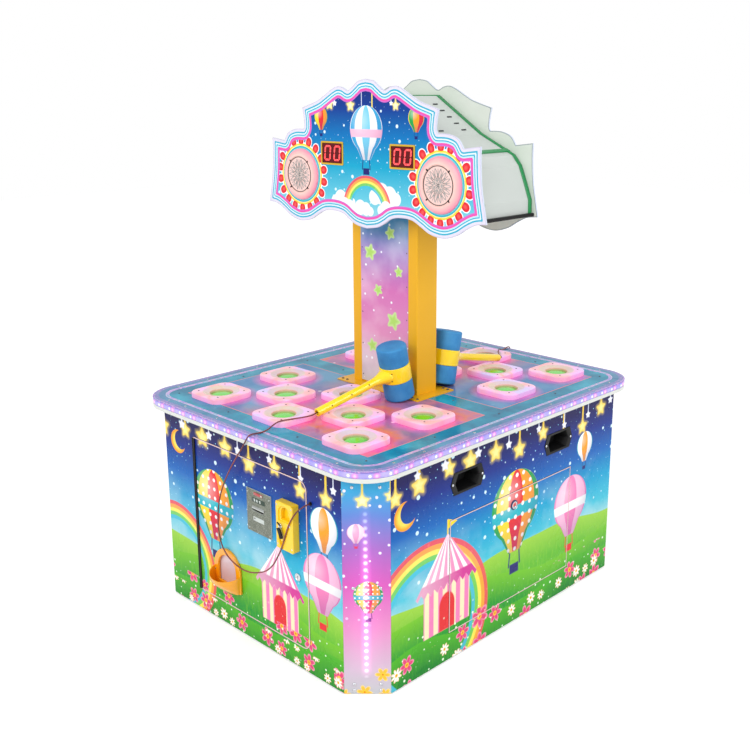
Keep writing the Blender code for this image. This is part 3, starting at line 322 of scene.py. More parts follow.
def grain_group():
    """Fine uneven surface of moulded or painted stuff: a height, and a patchy number round zero."""
    recipe, given = start_group("surface_grain", ("Fineness", "Patchiness"))
    place = recipe.add("ShaderNodeTexCoord").outputs["Object"]
    fine = recipe.add("ShaderNodeTexNoise")
    recipe.feed(fine.inputs["Scale"], given["Fineness"])
    fine.inputs["Detail"].default_value = 4.0
    recipe.feed(fine.inputs["Vector"], place)
    broad = recipe.add("ShaderNodeTexNoise")
    broad.inputs["Scale"].default_value = 9.0
    broad.inputs["Detail"].default_value = 5.0
    recipe.feed(broad.inputs["Vector"], place)
    patch = (Field(recipe.tree, broad.outputs[0]) - 0.5) * given["Patchiness"]
    return end_group(recipe, Height=Field(recipe.tree, fine.outputs[0]), Patch=patch)


surface_grain = grain_group()


def uneven_gloss(recipe, roughness, fineness=500.0):
    """Roughness that wanders a little round one value with the grain's patches."""
    grain = recipe.use(surface_grain, Fineness=fineness, Patchiness=0.08)
    recipe.coat(Roughness=grain["Patch"] + roughness)


def plain_finish(name, colour, roughness, metallic=0.0, fineness=400.0, depth=0.00003, patchiness=0.12,
                 **constants):
    """One stuff with a fine grain, a slightly patchy colour and an uneven gloss."""
    material, recipe = start_finish(name, roughness, metallic, **constants)
    grain = recipe.use(surface_grain, Fineness=fineness, Patchiness=patchiness)
    bright = recipe.add("ShaderNodeHueSaturation")
    bright.inputs["Color"].default_value = colour
    recipe.feed(bright.inputs["Value"], grain["Patch"] * 0.6 + 1.0)
    recipe.coat(Base_Color=bright.outputs[0], Roughness=grain["Patch"] + roughness)
    recipe.bump(grain["Height"], depth, 0.6)
    return material


def sheet_of(grid, around=False, caps=(), flip=False, closed=False):
    """Points and faces of a surface given as rows of points, closed around each row if asked for.

    A cap closes the first row (0) or the last one (-1) with one flat face, and closed joins the two.
    """
    rows, columns = grid.shape[:2]
    i, j = np.meshgrid(np.arange(rows if closed else rows - 1),
                       np.arange(columns if around else columns - 1), indexing="ij")
    corners = ((i, j), (i, j + 1), (i + 1, j + 1), (i + 1, j))
    faces = np.stack([a % rows * columns + b % columns for a, b in corners], axis=-1).reshape(-1, 4)
    faces = (faces[:, ::-1] if flip else faces).tolist()
    for cap in caps:
        start = 0 if cap == 0 else (rows - 1) * columns
        loop = list(range(start, start + columns))
        faces.append(loop[::-1] if (cap == 0) != flip else loop)
    return grid.reshape(-1, 3), faces


def piece(name, shells, finishes, body, stands_for=(), smooth=35.0):
    """One object of the machine from several shells, each with the number of its finish.

    A shell is (points, faces, finish number). Edges sharper than the smooth angle stay crisp.
    """
    points, faces, numbers, count = [], [], [], 0
    for shell_points, shell_faces, number in shells:
        points.append(np.asarray(shell_points, float))
        faces += [[index + count for index in face] for face in shell_faces]
        numbers += [number] * len(shell_faces)
        count += len(shell_points)
    mesh = bpy.data.meshes.new(name)
    mesh.from_pydata(np.concatenate(points).tolist(), [], faces)
    for finish in finishes:
        mesh.materials.append(finish)
    mesh.polygons.foreach_set("material_index", numbers)
    mesh.shade_smooth()
    mesh.set_sharp_from_angle(angle=math.radians(smooth))
    mesh.update()
    made = bpy.data.objects.new(name, mesh)
    scene.collection.objects.link(made)
    if body:
        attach(made, body)
    if stands_for:
        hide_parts(*stands_for)
    return made


def smooth_route(spots, steps):
    """Curve through all spots, each span a cubic that leans on the spots before and after it."""
    spots = np.array(spots)
    padded = np.concatenate((spots[:1], spots, spots[-1:]))
    before, start, end, after = (padded[k:len(padded) - 3 + k, None] for k in range(4))
    t = (np.arange(steps) / steps)[None, :, None]
    spans = 0.5 * (2 * start + (end - before) * t + (2 * before - 5 * start + 4 * end - after) * t**2
                   + (3 * start - before - 3 * end + after) * t**3)
    return np.concatenate((spans.reshape(-1, 3), spots[-1:]))


def full_turn(steps):
    """Angles at equal steps round a circle."""
    return np.arange(steps) / steps * 2 * np.pi


def round_tube(path, radius, sides, lean=(0.5, 0.6, -0.62)):
    """A circle carried square to a path. The lean is a direction that the path never takes."""
    along = np.gradient(path, axis=0)
    along /= np.linalg.norm(along, axis=1, keepdims=True)
    side = np.cross(along, np.array(lean))
    side /= np.linalg.norm(side, axis=1, keepdims=True)
    rise = np.cross(side, along)
    angles = full_turn(sides)
    ring = side[:, None] * np.cos(angles)[None, :, None] + rise[:, None] * np.sin(angles)[None, :, None]
    return path[:, None] + ring * np.broadcast_to(radius, len(path))[:, None, None]


def cord_finish():
    """Red-brown sheath with a faint sheen and a slow change of shade along its length."""
    material, recipe = start_finish("cord_sheath", 0.42)
    shade = recipe.noise(14.0, 2.0)
    colour = recipe.ramp(shade, [(0.30, srgb(96, 34, 38)), (0.70, srgb(142, 60, 58))])
    recipe.coat(Base_Color=colour)
    fine = recipe.noise(900.0, 2.0)
    recipe.coat(Roughness=fine * 0.2 + 0.34)
    return material


cord_radius = 0.00225
cord_routes = {
    "front": [
        (0.1075, -0.4564, 0.7646), (0.1067, -0.4659, 0.7625), (0.1059, -0.4766, 0.7601),
        (0.1035, -0.4920, 0.7579), (0.0955, -0.5160, 0.7566), (0.0830, -0.5480, 0.7562),
        (0.0745, -0.5780, 0.7564), (0.0700, -0.5980, 0.7545), (0.0685, -0.6170, 0.7475),
        (0.0690, -0.6380, 0.7392), (0.0700, -0.6620, 0.7372), (0.0696, -0.6850, 0.7388),
        (0.0683, -0.7000, 0.7396), (0.0635, -0.7084, 0.7345), (0.0565, -0.7105, 0.7245),
        (0.0420, -0.7098, 0.7050), (0.0230, -0.7085, 0.6810), (-0.0010, -0.7075, 0.6520),
        (-0.0450, -0.7070, 0.5930), (-0.0870, -0.7070, 0.5240),
        (-0.1110, -0.7070, 0.4640), (-0.1215, -0.7070, 0.4070), (-0.1200, -0.7070, 0.3550),
        (-0.1060, -0.7070, 0.3120), (-0.0760, -0.7070, 0.2820), (-0.0310, -0.7070, 0.2665),
        (0.0150, -0.7072, 0.2635), (0.0620, -0.7075, 0.2730), (0.1200, -0.7080, 0.2990),
        (0.1600, -0.7085, 0.3330), (0.1850, -0.7090, 0.3680), (0.2090, -0.7094, 0.4090),
        (0.2300, -0.7094, 0.4600), (0.2500, -0.7096, 0.5030), (0.2720, -0.7092, 0.5360),
        (0.2890, -0.7078, 0.5550), (0.3020, -0.7052, 0.5670), (0.3110, -0.7005, 0.5750),
        (0.3158, -0.6930, 0.5786), (0.3165, -0.6843, 0.5790),
    ],
    "back": [
        (0.1026, 0.4587, 0.7642), (0.1020, 0.4681, 0.7621), (0.1014, 0.4788, 0.7597),
        (0.0960, 0.4960, 0.7577), (0.0780, 0.5130, 0.7566), (0.0560, 0.5320, 0.7562),
        (0.0330, 0.5560, 0.7562), (0.0130, 0.5840, 0.7566), (0.0000, 0.6060, 0.7530),
        (-0.0110, 0.6280, 0.7440), (-0.0200, 0.6520, 0.7378), (-0.0257, 0.6820, 0.7392),
        (-0.0285, 0.6970, 0.7398), (-0.0294, 0.7072, 0.7362), (-0.0286, 0.7112, 0.7260),
        (-0.0250, 0.7104, 0.7070), (-0.0170, 0.7086, 0.6760), (-0.0010, 0.7075, 0.6300),
        (0.0110, 0.7070, 0.5700), (0.0150, 0.7070, 0.5050),
        (0.0080, 0.7070, 0.4430), (-0.0100, 0.7070, 0.3860), (-0.0380, 0.7070, 0.3370),
        (-0.0760, 0.7070, 0.3030), (-0.1180, 0.7075, 0.2920), (-0.1590, 0.7080, 0.3060),
        (-0.1900, 0.7085, 0.3400), (-0.2130, 0.7090, 0.3860), (-0.2310, 0.7094, 0.4370),
        (-0.2480, 0.7096, 0.4880), (-0.2690, 0.7092, 0.5300), (-0.2880, 0.7078, 0.5530),
        (-0.3020, 0.7052, 0.5670), (-0.3110, 0.7005, 0.5750), (-0.3158, 0.6930, 0.5786),
        (-0.3165, 0.6843, 0.5790),
    ],
}
cord_sheath = cord_finish()
for end, route in cord_routes.items():
    path = smooth_route(route[::-1], 8)
    tube = round_tube(path, cord_radius, 12)
    cord = piece("tether_cord_" + end, [(*sheet_of(tube, True, (0, -1), flip=True), 0)], [cord_sheath], None,
                 ("cord_" + end,), smooth=60.0)
    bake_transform(cord)


# Cabinet: boards with a glossy printed skin, joined at the four chamfered corners and closed below by
# a black floor board. The print runs on over the coin doors and the service doors without a break.

class Print:
    """A printed picture laid on in layers. Across and up are metres on the surface."""

    def __init__(self, recipe, across, rise, base):
        self.recipe, self.across, self.rise, self.colour = recipe, across, rise, base
        self.spot = self.joined(across, rise)

    def joined(self, across, rise):
        """Vector of the two places."""
        join = self.recipe.add("ShaderNodeCombineXYZ")
        self.recipe.feed(join.inputs[0], across)
        self.recipe.feed(join.inputs[1], rise)
        return join.outputs[0]

    def split(self, vector):
        """First two numbers of a vector."""
        node = self.recipe.add("ShaderNodeSeparateXYZ")
        self.recipe.feed(node.inputs[0], vector)
        return [Field(self.recipe.tree, output) for output in node.outputs[:2]]

    def lay(self, mask, colour):
        """A new layer over the picture where the mask is one."""
        self.colour = self.recipe.over(self.colour, mask, colour)

    def local(self, centre, half, turn=0.0):
        """Place of each point as a motif sees it: its centre is zero and its half size is one."""
        node = self.recipe.add("ShaderNodeMapping", vector_type="TEXTURE")
        node.inputs["Location"].default_value = (*centre, 0)
        node.inputs["Rotation"].default_value = (0, 0, turn)
        wide, high = half if isinstance(half, tuple) else (half, half)
        node.inputs["Scale"].default_value = (wide, high, 1)
        self.recipe.feed(node.inputs[0], self.spot)
        return self.split(node.outputs[0])

    def radius(self, across, rise):
        """Distance from the place where both are zero."""
        node = self.recipe.add("ShaderNodeVectorMath", operation="LENGTH")
        self.recipe.feed(node.inputs[0], self.joined(across, rise))
        return Field(self.recipe.tree, node.outputs["Value"])

    def disc(self, centre, half, colour, blur=0.03):
        """A disc or an ellipse in one colour."""
        self.lay(self.radius(*self.local(centre, half)).below(1.0, blur), colour)

    def cells(self, pitch, shift, jitter=0.5):
        """Square cells, each with its own random numbers: place in the cell from -0.5 to 0.5, chances."""
        def math_of(operation, first, second=None):
            """The vector result of one Vector Math node."""
            node = self.recipe.add("ShaderNodeVectorMath", operation=operation)
            self.recipe.feed(node.inputs[0], first)
            if second is not None:
                self.recipe.feed(node.inputs[1], second)
            return node.outputs[0]
        scaled = math_of("MULTIPLY_ADD", self.spot, (1 / pitch, 1 / pitch, 1))
        scaled.node.inputs[2].default_value = (shift, 0.37 * shift, 0)
        chance = self.recipe.add("ShaderNodeTexWhiteNoise", noise_dimensions="2D")
        self.recipe.feed(chance.inputs["Vector"], math_of("FLOOR", scaled))
        off = math_of("MULTIPLY", math_of("SUBTRACT", chance.outputs["Color"], (0.5, 0.5, 0.5)),
                      (jitter, jitter, 0))
        middle = math_of("SUBTRACT", math_of("FRACTION", scaled), (0.5, 0.5, 0))
        colours = self.recipe.add("ShaderNodeSeparateColor")
        self.recipe.feed(colours.inputs[0], chance.outputs["Color"])
        draws = [Field(self.recipe.tree, output) for output in colours.outputs]
        return self.split(math_of("SUBTRACT", middle, off)), draws


def star_group():
    """Edge of a plain five-pointed star with rounded tips: negative inside, zero on the outline.

    The angle is folded onto one half point, and the edge is the straight line from tip to notch.
    """
    recipe, given = start_group("plain_star", ("Across", "Up", "Notch"))
    across, rise, notch = (given[label] for label in ("Across", "Up", "Notch"))
    radius = (across * across + rise * rise).calc("SQRT")
    folded = across.calc("ARCTAN2", rise).calc("PINGPONG", math.pi / 5)
    x, y = radius * folded.calc("COSINE"), radius * folded.calc("SINE")
    tip_to_notch = notch * math.cos(math.pi / 5) - 1.0, notch * math.sin(math.pi / 5)
    length = (tip_to_notch[0] * tip_to_notch[0] + tip_to_notch[1] * tip_to_notch[1]).calc("SQRT")
    beyond = (tip_to_notch[1] * (x - 1.0) - tip_to_notch[0] * y) / length
    edge = beyond.calc("SMOOTH_MAX", radius - 0.90, 0.12)
    return end_group(recipe, Edge=edge)


def blossom_group():
    """Edge of a flower with round petals: the outline's radius drops with the square of the folded angle."""
    recipe, given = start_group("blossom", ("Across", "Up", "Petals"))
    across, rise = given["Across"], given["Up"]
    radius = (across * across + rise * rise).calc("SQRT")
    half = given["Petals"].calc("DIVIDE", math.pi).calc("POWER", -1.0)
    folded = across.calc("ARCTAN2", rise).calc("PINGPONG", half) / half
    return end_group(recipe, Edge=radius - (folded * folded * -0.55 + 1.0), Radius=radius)


plain_star = star_group()
blossom = blossom_group()


def hang_stars(picture, top, pitch, drop, size, colours, shift, glow=None):
    """A row of stars that hang on strings: columns of equal width, each star's drop drawn at random."""
    recipe = picture.recipe
    column = picture.across / pitch + shift
    chance = recipe.random(column.calc("FLOOR"))
    second = recipe.random(column.calc("FLOOR") + 31.7)
    across = (column.calc("FRACT") - 0.5) * pitch + (second - 0.5) * (pitch * 0.3)
    half = second * (size * 0.45) + size * 0.75
    centre = chance * -drop[1] + (top - drop[0])
    rise = picture.rise - centre
    string = abs(across).below(size * 0.13) * rise.above(0.0)
    picture.lay(string, colours[1])
    edge = recipe.use(plain_star, Across=across / half, Up=rise / half, Notch=0.56)["Edge"]
    if glow:
        picture.lay(edge.below(0.12, 0.40) * 0.40, glow)
    picture.lay(edge.below(0.0, 0.10), colours[1])
    picture.lay(edge.below(-0.16, 0.34), colours[0])


def sprinkle(picture, pitch, size, colour, shift, share=1.0, low=None, high=None):
    """Small round sparkles scattered one to a cell."""
    (across, rise), draws = picture.cells(pitch, shift, 0.8)
    dot = picture.radius(across, rise).below(draws[2] * (size / pitch), 0.05)
    dot = dot * draws[0].below(share, 0.01)
    if low is not None:
        dot = dot * picture.rise.above(low, 0.05)
    if high is not None:
        dot = dot * picture.rise.below(high, 0.05)
    picture.lay(dot, colour)


def balloon(picture, centre, half, stripes, basket, dots=None, gores=4.0, band=None):
    """Hot-air balloon: a round crown that narrows to its mouth, striped by gores, with a basket below.

    A gore's place is the arc sine of the share across the envelope at that height.
    """
    recipe = picture.recipe
    across, rise = picture.local(centre, half)
    upper = (rise * rise * -1.0 + 1.0).calc("MAXIMUM", 0.0).calc("SQRT")
    lower = rise * 0.62 + 1.08
    wide = upper.calc("MAXIMUM", lower * rise.below(-0.45, 0.01))
    inside = abs(across).below(wide, 0.03) * rise.above(-1.32, 0.03) * rise.below(1.0, 0.02)
    for side in (-1, 1):
        rope = abs(across - (rise + 1.32) * (-0.10 * side) - 0.20 * side).below(0.025, 0.03)
        picture.lay(rope * rise.below(-1.30) * rise.above(-1.75), basket)
    box = abs(across).below(0.19, 0.03) * abs(rise + 1.82).below(0.14, 0.03)
    picture.lay(box, basket)
    share = (across / wide.calc("MAXIMUM", 0.05)).calc("MAXIMUM", -1.0).calc("MINIMUM", 1.0)
    gore = share.calc("ARCSINE") * (gores / math.pi) + 20.5
    stops = [(k / len(stripes), colour) for k, colour in enumerate(stripes)]
    fill = recipe.ramp((gore / len(stripes)).calc("FRACT"), stops, "CONSTANT")
    if band:
        fill = recipe.over(fill, abs(rise + 0.18).below(0.17, 0.03), band)
    picture.lay(inside, fill)
    if dots:
        (dot_across, dot_rise), _ = picture.cells(half * 0.30, centre[0] * 7 + 3.1, 0.1)
        picture.lay(inside * picture.radius(dot_across, dot_rise).below(0.20, 0.06), dots)
    shade = picture.radius(across + 0.35, rise - 0.35)
    picture.lay(inside * shade.below(0.0, 1.3) * 0.75, (1, 1, 1, 1))
    picture.lay(inside * shade.above(1.15, 0.8) * 0.35, srgb(60, 30, 120))


def tent(picture, centre, half, roof, wall, door, flag):
    """Striped round tent: a cone roof with a scalloped rim on a drum with an arched door."""
    across, rise = picture.local(centre, half)
    drum = abs(across).below(0.72, 0.02) * rise.below(0.0) * rise.above(-0.95, 0.02)
    stripe = (across * 3.6).calc("FRACT").below(0.5, 0.06)
    picture.lay(drum, picture.recipe.over(wall[0], stripe, wall[1]))
    arch_top = picture.radius(across, (rise + 0.45) * 0.9).below(0.24, 0.03)
    arch_leg = abs(across).below(0.24, 0.02) * rise.below(-0.45) * rise.above(-0.95, 0.02)
    picture.lay(arch_top.calc("MAXIMUM", arch_leg), door)
    pole = abs(across).below(0.02, 0.02) * rise.above(0.9) * rise.below(1.30, 0.02)
    picture.lay(pole, flag)
    pennant = across.above(0.0, 0.02) * (across + abs(rise - 1.20) * 3.0).below(0.30, 0.03)
    picture.lay(pennant, flag)
    slope = (rise * -1.0 + 1.0).calc("MAXIMUM", 0.0)
    rim = abs((across * 5.0).calc("FRACT") - 0.5) * 0.22 - 0.10
    cone = abs(across).below(slope * 0.90 + 0.02, 0.02) * rise.above(rim, 0.03) * rise.below(1.0, 0.02)
    lean = (across / (slope * 0.9 + 0.02) * 3.0).calc("FRACT").below(0.5, 0.08)
    picture.lay(cone, picture.recipe.over(roof[0], lean, roof[1]))
    picture.lay(cone * rise.below(0.16, 0.03), roof[2])
    picture.lay(cone * across.below(-0.1, 1.2) * 0.35, (1, 1, 1, 1))


def rainbow(picture, centre, inner, band, colours):
    """Half rings of equal width round one centre, each a step of the distance from it."""
    across, rise = picture.local(centre, 1.0)
    steps = (picture.radius(across, rise) - inner) / (band * len(colours))
    stops = [(k / len(colours), colour) for k, colour in enumerate(colours)]
    inside = steps.above(0.0, 0.03) * steps.below(1.0, 0.03)
    picture.lay(inside * 0.92, picture.recipe.ramp(steps, stops, "CONSTANT"))


def crescent(picture, centre, half, turn, colour, shade):
    """Moon: a disc without the smaller disc beside it."""
    across, rise = picture.local(centre, half, turn)
    from_middle = picture.radius(across, rise)
    inside = from_middle.below(1.0, 0.04) * picture.radius(across - 0.42, rise).above(0.80, 0.04)
    picture.lay(inside, picture.recipe.over(colour, from_middle.above(0.75, 0.3), shade))


def flower_bed(picture, pitch, half, petals, colours, shift, top, share=0.8):
    """Flowers one to a cell under a wavy line, each with a paler rim and a yellow middle."""
    recipe = picture.recipe
    (across, rise), draws = picture.cells(pitch, shift, 0.35)
    size = (draws[1] * 0.35 + 0.75) * (half / pitch)
    spin = draws[2] * 2.0
    cosine, sine = spin.calc("COSINE"), spin.calc("SINE")
    turned = across * cosine - rise * sine, across * sine + rise * cosine
    form = recipe.use(blossom, Across=turned[0] / size, Up=turned[1] / size, Petals=float(petals))
    here = draws[0].below(share, 0.01) * (picture.rise - top).below(0.0, 0.004)
    picture.lay(form["Edge"].below(0.0, 0.08) * here, colours[1])
    picture.lay(form["Edge"].below(-0.12, 0.30) * here, colours[0])
    picture.lay(form["Radius"].below(0.26, 0.08) * here, srgb(250, 205, 50))
    picture.lay(form["Radius"].below(0.12, 0.08) * here, srgb(225, 120, 30))


sky_stops = [(0.0, srgb(190, 226, 210)), (0.30, srgb(176, 220, 222)), (0.42, srgb(64, 190, 214)),
             (0.56, srgb(4, 158, 204)), (0.70, srgb(6, 100, 182)), (0.84, srgb(20, 46, 134)),
             (0.95, srgb(24, 20, 84)), (1.0, srgb(22, 16, 74))]
sky_height = 0.70
rainbow_colours = [srgb(70, 190, 215), srgb(120, 205, 90), srgb(250, 235, 90), srgb(250, 165, 60),
                   srgb(235, 80, 90)]


def landscape(picture, hills):
    """Evening sky over rolling hills: each hill's crest is a sum of two sines."""
    recipe = picture.recipe
    far, near, front = hills
    grass = recipe.noise(120.0, 4.0, 0.65, (1, 1, 0.25))
    haze = recipe.noise(5.0, 3.0)
    picture.lay((haze.above(0.52, 0.20) * picture.rise.below(0.40, 0.2)) * 0.35, srgb(240, 250, 248))
    for (level, swell, waves, shift), low, high in (
            (far, srgb(96, 184, 44), srgb(156, 208, 66)), (near, srgb(28, 150, 44), srgb(116, 194, 38)),
            (front, srgb(16, 128, 40), srgb(76, 178, 30))):
        crest = (picture.across * waves + shift).calc("SINE") * swell
        crest = crest + (picture.across * (waves * 2.3) + shift * 3).calc("SINE") * (swell * 0.3) + level
        depth = (crest - picture.rise) / 0.10
        fill = recipe.over(high, depth.clamp(), low)
        fill = recipe.over(fill, grass.above(0.58, 0.15) * 0.40, high)
        picture.lay(depth.above(0.0, 0.03), fill)


def cabinet_print(name, on_ends):
    """The machine's printed skin, for the two ends or the two long sides."""
    material, recipe = start_finish(name, 0.27, Specular_IOR_Level=0.16)
    x, y, z = recipe.place()
    across = x * y.calc("SIGN") * -1.0 if on_ends else y * x.calc("SIGN")
    picture = Print(recipe, across, z, recipe.ramp(z / sky_height, sky_stops))
    sprinkle(picture, 0.052, 0.0075, srgb(215, 245, 255), 3.3, 0.55, low=0.30)
    sprinkle(picture, 0.026, 0.0024, srgb(150, 220, 245), 8.1, 0.45, low=0.34)
    white, pink, cream = srgb(250, 250, 250), srgb(240, 130, 185), srgb(250, 232, 190)
    red, orange, yellow = srgb(225, 45, 50), srgb(248, 160, 40), srgb(252, 218, 50)
    green, teal, navy = srgb(40, 165, 75), srgb(40, 180, 195), srgb(32, 36, 110)
    striped, banded = ([orange, white, teal, white], navy), ([pink, srgb(250, 190, 220)], red)
    dotted = [red, orange, green, yellow], navy, white, 5.0, teal
    tent_colours = (pink, white, srgb(210, 60, 150)), (cream, pink), red, yellow
    moon_colours = srgb(252, 222, 90), orange
    large_petals, small_petals = (srgb(226, 66, 120), srgb(250, 170, 200)), (white, srgb(250, 190, 90))
    if on_ends:
        landscape(picture, ((0.255, 0.018, 8.0, 0.4), (0.185, 0.028, 6.0, 2.0), (0.085, 0.020, 9.0, 4.0)))
        crescent(picture, (-0.375, 0.600), 0.042, 0.5, *moon_colours)
        rainbow(picture, (-0.405, 0.150), 0.150, 0.0135, rainbow_colours)
        balloon(picture, (0.372, 0.520), 0.062, *striped)
        balloon(picture, (-0.180, 0.440), 0.108, *dotted)
        tent(picture, (0.155, 0.245), (0.125, 0.145), *tent_colours)
        balloon(picture, (0.360, 0.345), 0.085, *banded, band=white)
        flowers = ((0.070, 0.034, 6, large_petals, 5.2, 0.12, 0.55),
                   (0.048, 0.020, 8, small_petals, 2.6, 0.070, 0.45))
    else:
        landscape(picture, ((0.270, 0.022, 6.0, 1.1), (0.190, 0.034, 4.6, 3.1), (0.090, 0.024, 7.0, 5.0)))
        crescent(picture, (-0.520, 0.560), 0.046, 0.5, *moon_colours)
        rainbow(picture, (-0.415, 0.155), 0.205, 0.0165, rainbow_colours)
        balloon(picture, (0.405, 0.540), 0.048, *striped)
        tent(picture, (-0.330, 0.275), (0.150, 0.165), *tent_colours)
        balloon(picture, (0.010, 0.430), 0.125, *dotted)
        balloon(picture, (0.330, 0.345), 0.098, *banded, band=white)
        flowers = ((0.085, 0.042, 6, large_petals, 1.4, 0.135, 0.50),
                   (0.056, 0.024, 8, small_petals, 4.4, 0.080, 0.45))
    for flower in flowers:
        flower_bed(picture, *flower)
    sprinkle(picture, 0.030, 0.0045, srgb(235, 255, 225), 5.9, 0.5, high=0.16)
    hang_stars(picture, sky_height, 0.118, (0.045, 0.055), 0.034,
               (srgb(250, 236, 150), srgb(244, 206, 76)), 0.30, srgb(250, 225, 120))
    hang_stars(picture, sky_height, 0.147, (0.028, 0.030), 0.018, (white, srgb(214, 220, 240)), 0.72)
    facing_x, facing_y, _ = recipe.place("Normal")
    outward = facing_y * y.calc("SIGN") if on_ends else facing_x * x.calc("SIGN")
    printed = outward.above(0.5, 0.2)
    colour = recipe.over(srgb(58, 46, 38), printed, picture.colour)
    if on_ends:
        raised = abs(y).above(face_y + 0.0006, 0.0002)
        colour = recipe.over(colour, raised, srgb(22, 22, 24))
    recipe.coat(Base_Color=colour)
    grain = recipe.use(surface_grain, Fineness=700.0, Patchiness=0.10)
    recipe.coat(Roughness=grain["Patch"] - printed * 0.45 + 0.72)
    recipe.bump(grain["Height"], 0.00002, 0.25)
    return material


def dress(finish, *names):
    """Give CAD pieces their finish."""
    for name in names:
        slots = nodes[name].data.materials
        slots.clear()
        slots.append(finish)


def set_on(points, origin, outward):
    """Points given as (across, up, out) of a wall, placed at an origin with the wall facing outward."""
    out = np.array(outward, float) / np.linalg.norm(outward)
    across = np.cross((0, 0, 1), out)
    points = np.asarray(points, float)
    return np.array(origin) + points @ np.array((across, (0, 0, 1), out))


def revolved(profile, sides, flip=False, closed=False):
    """Profile of (radius, level) carried round the third axis: closed, or with flat end caps."""
    radius, level = np.array(profile, float).T[..., None]
    angles = full_turn(sides)
    grid = np.broadcast_arrays(radius * np.cos(angles), radius * np.sin(angles), level)
    return sheet_of(np.stack(grid, axis=-1), True, () if closed else (0, -1), flip, closed)


def at_spots(shell, spots):
    """One shell repeated at several places."""
    points, faces = shell
    spots = np.asarray(spots, float)
    shifted = (points[None] + spots[:, None]).reshape(-1, 3)
    return shifted, [[index + k * len(points) for index in face]
                     for k in range(len(spots)) for face in faces]


def dome_screw(radius, height, sides=14):
    """Round screw head: a low dome with a small sunk socket in its crown."""
    angles = np.linspace(0, 0.42 * np.pi, 6)
    dome = [(radius * math.cos(angle), height * math.sin(angle)) for angle in angles]
    socket = [(radius * 0.26, height * 0.55), (radius * 0.02, height * 0.50)]
    return revolved([(radius * 0.98, -0.0003)] + dome + socket, sides)


chrome = plain_finish("bright_chrome", srgb(205, 208, 212), 0.16, 1.0, 900.0, 0.00001, 0.10)
black_plastic = plain_finish("black_plastic", srgb(12, 12, 13), 0.46, 0.0, 500.0, 0.00004, 0.10,
                             Specular_IOR_Level=0.22)
face_x, face_y = 0.55, 0.68
both_ends = ("front", -1), ("back", 1)
end_print = cabinet_print("end_print", True)
side_print = cabinet_print("side_print", False)
dress(end_print, "front_panel", "back_panel")
dress(side_print, "left_panel", "right_panel", "service_door")
dress(plain_finish("black_board", srgb(26, 24, 24), 0.7, 0.0, 250.0, 0.00008, 0.25), "floor_board")

# Carrying handles: black moulded cups with a hexagonal flange, pushed into the side boards and held by
# a chrome screw at each tip.

handle_y, handle_z = 0.24, 0.595


def hexagon(half_width, half_height, point, out):
    """Long hexagon as a loop, from its right tip round."""
    w, h = half_width, half_height
    return [(w, 0, out), (w - point, h, out), (point - w, h, out), (-w, 0, out), (point - w, -h, out),
            (w - point, -h, out)]


handle_levels = [(0.0480, 0.0200, 0.012, -0.0470), (0.0560, 0.0270, 0.012, -0.0040),
                 (0.0585, 0.0290, 0.013, 0.0004), (0.0600, 0.0300, 0.013, 0.0012),
                 (0.0790, 0.0365, 0.0145, 0.0020), (0.0800, 0.0373, 0.015, 0.0010),
                 (0.0800, 0.0373, 0.015, 0.0003), (0.0782, 0.0362, 0.014, -0.0004),
                 (0.0780, 0.0360, 0.014, -0.0490)]
cup = sheet_of(np.array([hexagon(*level) for level in handle_levels]), True, (0, -1), flip=True)
screw = dome_screw(0.0042, 0.0020)
for side_name, side in (("right", 1), ("left", -1)):
    shells = []
    for y in (-handle_y, handle_y):
        origin, outward = (side * face_x, y, handle_z), (side, 0, 0)
        shells.append((set_on(cup[0], origin, outward), cup[1], 0))
        tips = at_spots(screw, [(-0.0705, 0, 0.0019), (0.0705, 0, 0.0019)])
        shells.append((set_on(tips[0], origin, outward), tips[1], 1))
    piece("handle_cups_" + side_name, shells, [black_plastic, chrome], "cabinet", smooth=25.0)

# Corner lights: printed translucent sheet over a column of lights in each chamfered corner, held by
# four pairs of chrome dome screws.

corner_middle = (0.5, 0.63)


